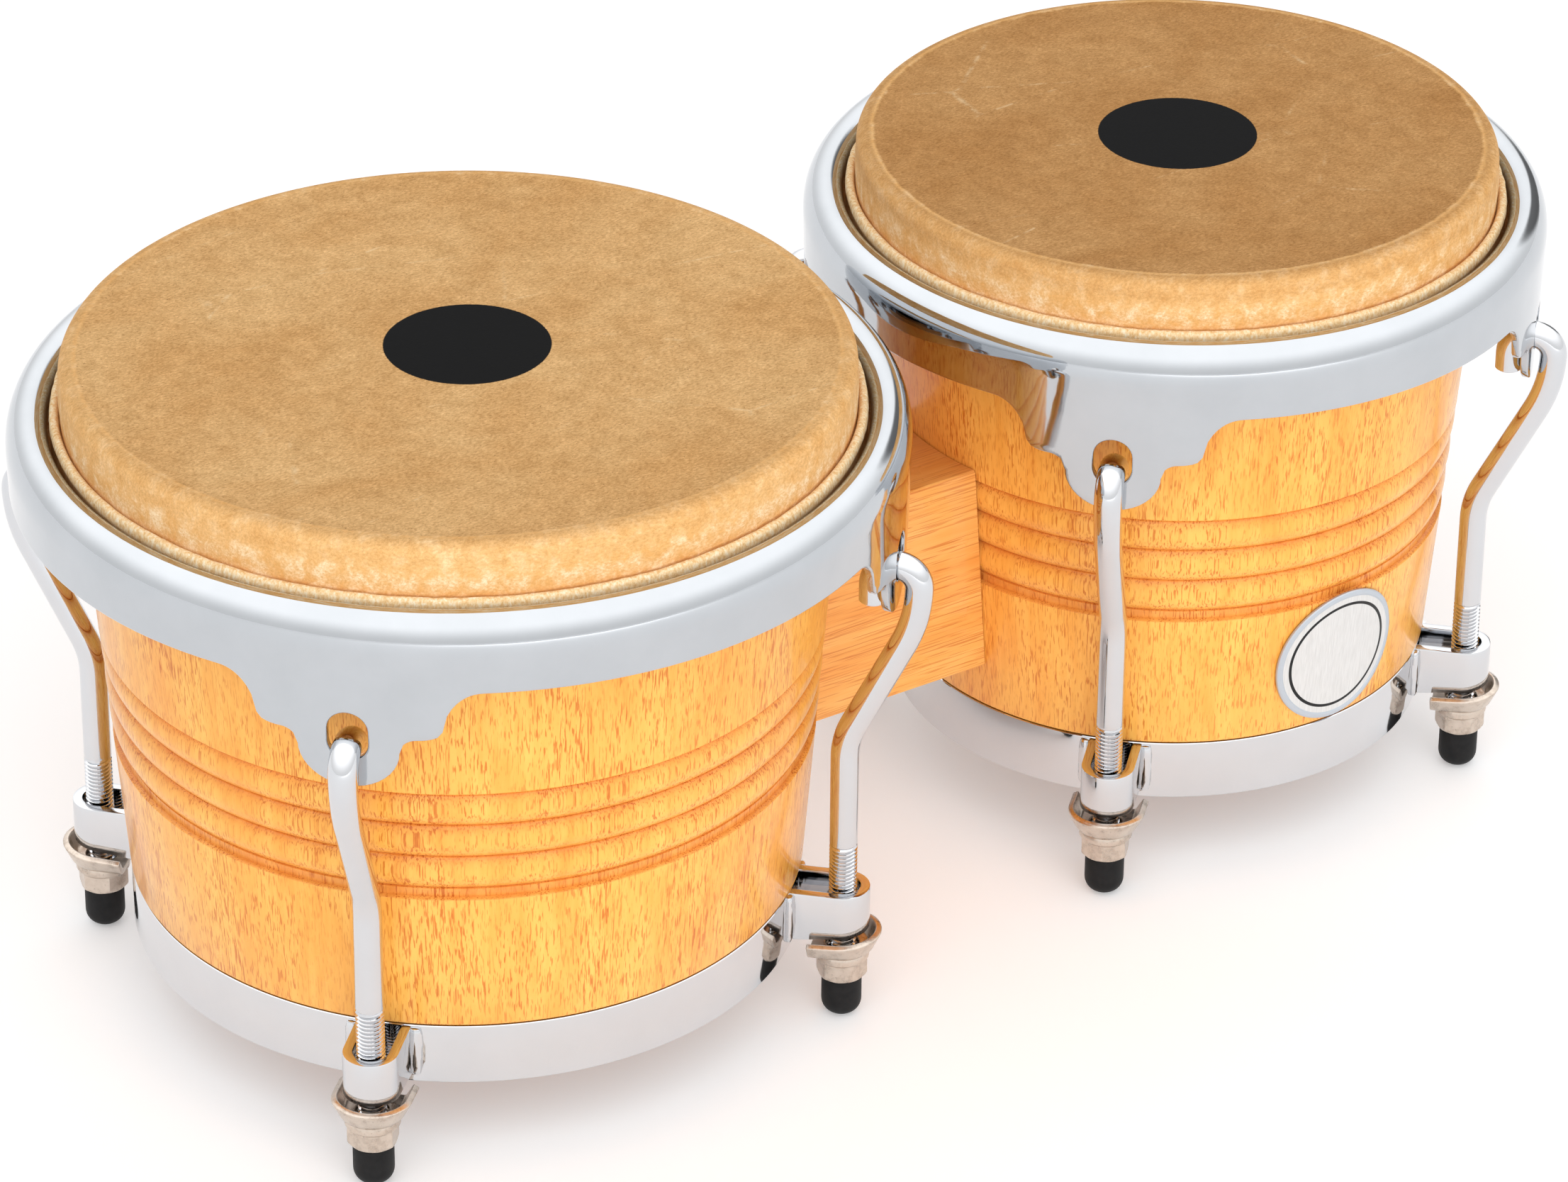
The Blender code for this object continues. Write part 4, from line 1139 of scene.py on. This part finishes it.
def washer_mesh(bottom, top):
    """Dished U washer: a floor with a hole and a wall that flares, open towards the drum."""
    shape = Shape()
    floor = bottom + WASHER_SHEET / 2
    half = WASHER_SHEET / 2
    stations = u_stations(WASHER_LEG, 4, 24)
    rise = top - half * 0.4 - floor
    low = WASHER_FLOOR_RADIUS - half - 0.0006
    high = WASHER_LIP_RADIUS - half
    profile = [(low, 0.0), (low + 0.0008, 0.00025), (low + 0.0014, 0.0009)]
    for share in spaced(0.2, 1, 4):
        profile.append((low + 0.0014 + (high - low - 0.0014) * share, 0.0009 + (rise - 0.0009) * share))
    rows = []
    for reach, lift in profile:
        row = []
        for base, out in stations:
            point = base + out * reach
            share = (WASHER_LIP_RADIUS - point.x) / (WASHER_LIP_RADIUS + WASHER_LEG)
            drop = (top - WASHER_LIP_END) * share * max(0.0, lift) / rise
            row.append((point.x, point.y, floor + lift - drop))
        rows.append(shape.row(row))
    shape.stack(rows, False, False)
    ends = []
    for step in range(1, 8):
        ends.append((-WASHER_LEG, low - 2 * low * step / 8, floor))
    edge = rows[0] + shape.row(ends)
    rings = [edge]
    for share in (0.45, 0.8, 1.0):
        row = []
        for corner in edge:
            point = shape.points[corner]
            flat = Vector((point.x, point.y))
            spot = flat.lerp(flat.normalized() * WASHER_HOLE, share)
            row.append((spot.x, spot.y, floor))
        rings.append(shape.row(row))
    shape.stack(rings)
    washer = put("washer", shape.mesh("washer"))
    thicken(washer, WASHER_SHEET)
    soften(washer, 0.00045, 3, 50)
    mesh = washer.data
    bpy.data.objects.remove(washer, do_unlink=True)
    return mesh


def cap_mesh(top):
    """Soft rubber cap with a domed end."""
    outline = [(0, 0)]
    for step in range(1, 13):
        angle = math.pi / 2 * step / 12
        reach = CAP_RADIUS * math.sin(angle) ** 0.85
        outline.append((reach, CAP_DOME * (1 - math.cos(angle) ** 0.9)))
    outline += [(CAP_RADIUS, top - 0.0005), (CAP_RADIUS - 0.00015, top - 0.00015)]
    outline += [(CAP_RADIUS - 0.0005, top), (CAP_BORE, top)]
    outline += [(CAP_BORE, CAP_BORE_BOTTOM), (0, CAP_BORE_BOTTOM)]
    return polish(lathe(outline, 48, False).mesh("cap"))


def build_lugs(drum, meshes, looks):
    for number, place, turn in drum.lugs:
        for kind, look, slot, body, node in (
            ("hook_bolt_fine", "ring", "chrome", drum.name + "_hoop", "hook_bolt"),
            ("cap_fine", "rubber", "rubber", drum.name + "_hoop", "rubber_cap"),
            ("washer_fine", "nickel", "nickel", "shells", "dished_washer"),
            ("nut_fine", "nickel", "nickel", f"{drum.name}_nut_{number}", "flange_nut"),
        ):
            piece = put(f"{drum.name}_{kind}_{number}", meshes[node], place, turn)
            finish_piece(piece, looks[look], slot, body, f"{drum.name}_{node}_{number}")


# ---------------------------------------------------------------- shared pieces


def build_block(drums, material):
    """Centre block with eased long edges, scribed to both tapered shells."""
    low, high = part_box("centre_block")
    half = high.y
    section = eased([(-half, low.z), (half, low.z), (half, high.z), (-half, high.z)], 0.0012, 3)
    start = drums[0].axis + drums[0].radius - 0.012
    end = drums[1].axis - drums[1].radius + 0.012
    rows = [[(x, y, z) for y, z in section] for x in spaced(start, end, 12)]
    block = put("scribed_block", loft(rows, capped=True).mesh("block"))
    tools = []
    for drum in drums:
        bottom, top = low.z - 0.01, high.z + 0.01
        gap = 0.0003
        cone = [(0, bottom), (drum.shell_radius(bottom) + gap, bottom)]
        cone += [(drum.shell_radius(top) + gap, top), (0, top)]
        tools.append(put("scribe", lathe(cone, 160, False).mesh("scribe"), (drum.axis, 0, 0)))
    combine(block, tools + bolt_holes(start - 0.02, end + 0.02), "DIFFERENCE")
    return finish_piece(block, material, "wood_lacquer", "shells", "centre_block")


def through_bolt_mesh(foot, top):
    """Threaded bolt with a round head and a hexagon socket, standing on the Z axis."""
    shape = Shape()
    shank = THROUGH_BOLT_RADIUS - 0.00005
    first, last = thread_rows(shape, shank, foot, foot + THROUGH_THREAD_LENGTH)
    head = top - THROUGH_HEAD_HEIGHT
    outline = [(shank, head), (THROUGH_HEAD_RADIUS - 0.0004, head), (THROUGH_HEAD_RADIUS, head + 0.0004)]
    outline.append((THROUGH_HEAD_RADIUS, head + 0.0030))
    for degrees in (20, 40, 60, 80):
        angle = math.radians(degrees)
        outline.append((0.0030 + 0.0048 * math.cos(angle), head + 0.0030 + 0.0020 * math.sin(angle)))
    rows = [last] + [shape.row(circle(reach, height, THREAD_SIDES)) for reach, height in outline]
    angles = [TURN * side / THREAD_SIDES for side in range(THREAD_SIDES)]
    for height in (top, top - SOCKET_DEPTH):
        socket = [polar(hexagon(angle, SOCKET_FLAT), angle, height) for angle in angles]
        rows.append(shape.row(socket))
    shape.stack(rows)
    shape.faces += [first, rows[-1]]
    return polish(shape.mesh("through_bolt"))


def build_through_bolts(material):
    for label in BOLT_LABELS:
        low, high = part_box("through_bolt_" + label)
        nut_low, nut_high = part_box("through_nut_" + label)
        bolt = through_bolt_mesh(low.x, high.x)
        nut = nut_mesh(nut_low.x, nut_high.x, None, THROUGH_BOLT_RADIUS + 0.0003)
        for kind, mesh in (("bolt", bolt), ("nut", nut)):
            mesh = lay_along_x(mesh, bolt_height(label))
            piece = put(f"through_{kind}_fine_{label}", mesh)
            finish_piece(piece, material, "zinc_steel", "shells", f"through_{kind}_{label}")


def build_badge(drum, material):
    """Plain round badge with a raised border, bent to the shell."""
    low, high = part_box("shell_badge")
    middle = (low + high) / 2
    swing = math.atan2(middle.y, middle.x - drum.axis)
    face = drum.shell_radius(middle.z) + BADGE_GAP
    profile = [(0.0, 0.0), (0.5, 0.0), (0.96, 0.0), (1.0, 0.0002), (1.0, 0.0008), (0.985, 0.00112)]
    profile += [(0.965, 0.0012), (0.93, 0.0012), (0.915, 0.00095)]
    profile += [(share, 0.0009) for share in (0.90, 0.78, 0.6, 0.3, 0.0)]
    rows = []
    for share, lift in profile:
        row = []
        for side in range(1 if share == 0 else 96):
            angle = TURN * side / 96
            height = middle.z + BADGE_RADIUS * share * math.sin(angle)
            radius = drum.shell_radius(height) + BADGE_GAP + lift
            turn = BADGE_RADIUS * share * math.cos(angle) / radius
            row.append((radius * math.cos(turn) - face, radius * math.sin(turn), height - middle.z))
        rows.append(row)
    place = (drum.axis + face * math.cos(swing), face * math.sin(swing), middle.z)
    badge = put("plain_badge", polish(loft(rows).mesh("badge")), place, swing)
    return finish_piece(badge, material, "brushed_metal", "shells", "shell_badge")


def build_plate(drum, material):
    """Curved backing plate inside the shell, with eased edges and two bolt holes."""
    low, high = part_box(drum.name + "_backing_plate")
    spread = math.radians(PLATE_HALF_ANGLE)
    rows = []
    for step in range(25):
        turn = spread * (step / 12 - 1) + (0 if drum.facing > 0 else math.pi)
        inset = PLATE_EASE if step in (0, 24) else 0.0
        foot, crown = low.z + inset, high.z - inset
        near, far = inset, PLATE_THICKNESS - inset
        section = []
        for height, depth in ((foot, near), (crown, near), (crown, far), (foot, far)):
            section.append((drum.shell_radius(height) - SHELL_WALL - PLATE_GAP - depth, height))
        outline = eased(section, PLATE_EASE * 1.6, 2)
        rows.append([polar(radius, turn, height) for radius, height in outline])
    plate = put(drum.name + "_curved_plate", loft(rows, capped=True).mesh("plate"))
    combine(plate, wall_holes(drum), "DIFFERENCE")
    plate.location.x = drum.axis
    return finish_piece(plate, material, "zinc_steel", "shells", drum.name + "_backing_plate")


# ---------------------------------------------------------------- studio and camera

CAMERA_AZIMUTH = math.radians(-33.63847)
CAMERA_ELEVATION = math.radians(30.35264)
CAMERA_ROLL = math.radians(0.53748)
CAMERA_DISTANCE = 1.957580
CAMERA_LENS = 154.70
CAMERA_AIM = (0.00335, 0.0, 0.08)
CAMERA_AIM_SHIFT = (-0.007946, 0.006560)
LAMPS = (
    ("key", (-0.45, -2.30, 0.50), (0, 0, 0.1), (2.4, 0.8), 21),
)
# Glows of the room: direction, dot product where each starts and is full, shade outside and inside.
LIGHT_GLOWS = (
    ((-0.40, -0.60, 0.69), 0.66, 0.97, 0.56, 1.80),
    ((0.48, 0.72, 0.50), 0.60, 0.95, 1.0, 1.7),
)
MIRROR_GLOWS = (
    ((0, 0, 1), 0.0, 0.72, 1.00, 1.72),
    ((0.90, 0.44, 0.22), 0.95, 0.985, 1.0, 0.16),
)


def build_camera():
    sine, cosine = math.sin(CAMERA_AZIMUTH), math.cos(CAMERA_AZIMUTH)
    level = math.cos(CAMERA_ELEVATION)
    right = Vector((cosine, sine, 0))
    back = Vector((sine * level, -cosine * level, math.sin(CAMERA_ELEVATION)))
    up = back.cross(right)
    target = Vector(CAMERA_AIM) + right * CAMERA_AIM_SHIFT[0] + up * CAMERA_AIM_SHIFT[1]
    across = right * math.cos(CAMERA_ROLL) + up * math.sin(CAMERA_ROLL)
    upward = up * math.cos(CAMERA_ROLL) - right * math.sin(CAMERA_ROLL)
    turned = Matrix((across, upward, back)).transposed().to_4x4()
    lens = bpy.data.cameras.new("camera")
    lens.lens = CAMERA_LENS
    lens.sensor_width = 36
    lens.clip_end = 50
    camera = bpy.data.objects.new("camera", lens)
    camera.matrix_world = Matrix.Translation(target + back * CAMERA_DISTANCE) @ turned
    bpy.context.scene.collection.objects.link(camera)
    bpy.context.scene.camera = camera


def build_lamp(name, place, aim, size, power):
    """Soft lamp that lights the pieces but isn't mirrored in the plated ones."""
    data = bpy.data.lights.new(name, "AREA")
    data.shape = "RECTANGLE"
    data.size, data.size_y = size
    data.energy = power
    lamp = bpy.data.objects.new(name, data)
    lamp.location = place
    lamp.rotation_mode = "QUATERNION"
    lamp.rotation_quaternion = (Vector(aim) - Vector(place)).to_track_quat("-Z", "Y")
    lamp.visible_glossy = False
    bpy.context.scene.collection.objects.link(lamp)


def glow_colour(n, glows):
    """Product of smooth glows: (direction, dot product at the start and at full, shades there)."""
    source = n.add("TexCoord", {}).outputs["Generated"]
    colour = (1, 1, 1)
    for direction, start, full, outer, inner in glows:
        inputs = {0: source, 1: Vector(direction).normalized()}
        toward = n.add("VectorMath", inputs, operation="DOT_PRODUCT").outputs["Value"]
        colour = n.mix(1.0, colour, n.ramp(toward, [(start, outer), (full, inner)], True), "MULTIPLY")
    return colour


def build_world():
    """White room: one set of glows lights the pieces, the other is mirrored in the plated ones."""
    world = bpy.data.worlds.new("studio")
    bpy.context.scene.world = world
    n = Nodes(world)
    path = n.add("LightPath", {})
    lit, mirrored = glow_colour(n, LIGHT_GLOWS), glow_colour(n, MIRROR_GLOWS)
    colour = n.mix(path.outputs["Is Glossy Ray"], lit, mirrored)
    colour = n.mix(path.outputs["Is Camera Ray"], colour, (1, 1, 1))
    n.feed(n.tree.nodes["Background"].inputs["Color"], colour)


def build_studio():
    steps = spaced(-FLOOR_REACH, FLOOR_REACH, 4)
    rows = [[(x, y, 0.0) for x in steps] for y in steps]
    floor = put("floor", loft(rows, wrap=False).mesh("floor"))
    floor.data.materials.append(floor_material())
    build_world()
    for lamp in LAMPS:
        build_lamp(*lamp)
    bpy.context.scene.view_settings.view_transform = "Standard"


def main():
    looks = {
        # One chrome plate in two copies: the rim's copy is painted darker than the ring, bracket and
        # hook bolt copy, as painted shade for the duller reflection the rim shows.
        "ring": chrome_material("ring_chrome", (0.645, 0.655, 0.675), (0.67, 0.68, 0.70)),
        "chrome": chrome_material("rim_chrome", (0.515, 0.536, 0.560), (0.545, 0.565, 0.590)),
        "nickel": nickel_material(),
        "rubber": rubber_material(),
        "zinc": zinc_material(),
        "badge": badge_material(),
        "block_wood": wood_material("block_wood", 0, (0.93, 0.465, 0.130), (0.89, 0.390, 0.092),
                                    0.75, 0.028),
        "shell_wood": wood_material("shell_wood", 2, (0.975, 0.50, 0.105), (0.96, 0.445, 0.086),
                                    1.0, 0.070),
    }
    drums = [Drum("large"), Drum("small")]
    skins = [
        rawhide_material(drums[0], (0.725, 0.447, 0.196), (0.63, 0.349, 0.132), LARGE_PRINT_SHIFT),
        rawhide_material(drums[1], (0.546, 0.298, 0.113), (0.464, 0.230, 0.075), 0.0),
    ]
    nut_low, nut_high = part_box("large_flange_nut_1")
    washer_low, washer_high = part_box("large_dished_washer_1")
    meshes = {
        "hook_bolt": hook_bolt_mesh(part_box("large_hook_bolt_1")[0].z),
        "rubber_cap": cap_mesh(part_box("large_rubber_cap_1")[1].z),
        "dished_washer": washer_mesh(washer_low.z, washer_high.z),
        "flange_nut": nut_mesh(nut_low.z, nut_high.z + NUT_LIFT, NUT_SKIRT_BOTTOM),
    }
    for drum, skin in zip(drums, skins):
        build_shell(drum, looks["shell_wood"])
        build_ring(drum, looks["ring"])
        build_rim(drum, looks["chrome"])
        build_head(drum, skin)
        build_flesh_ring(drum, looks["zinc"])
        build_plate(drum, looks["zinc"])
        build_lugs(drum, meshes, looks)
    build_block(drums, looks["block_wood"])
    build_through_bolts(looks["zinc"])
    build_badge(drums[1], looks["badge"])
    build_studio()
    build_camera()


main()
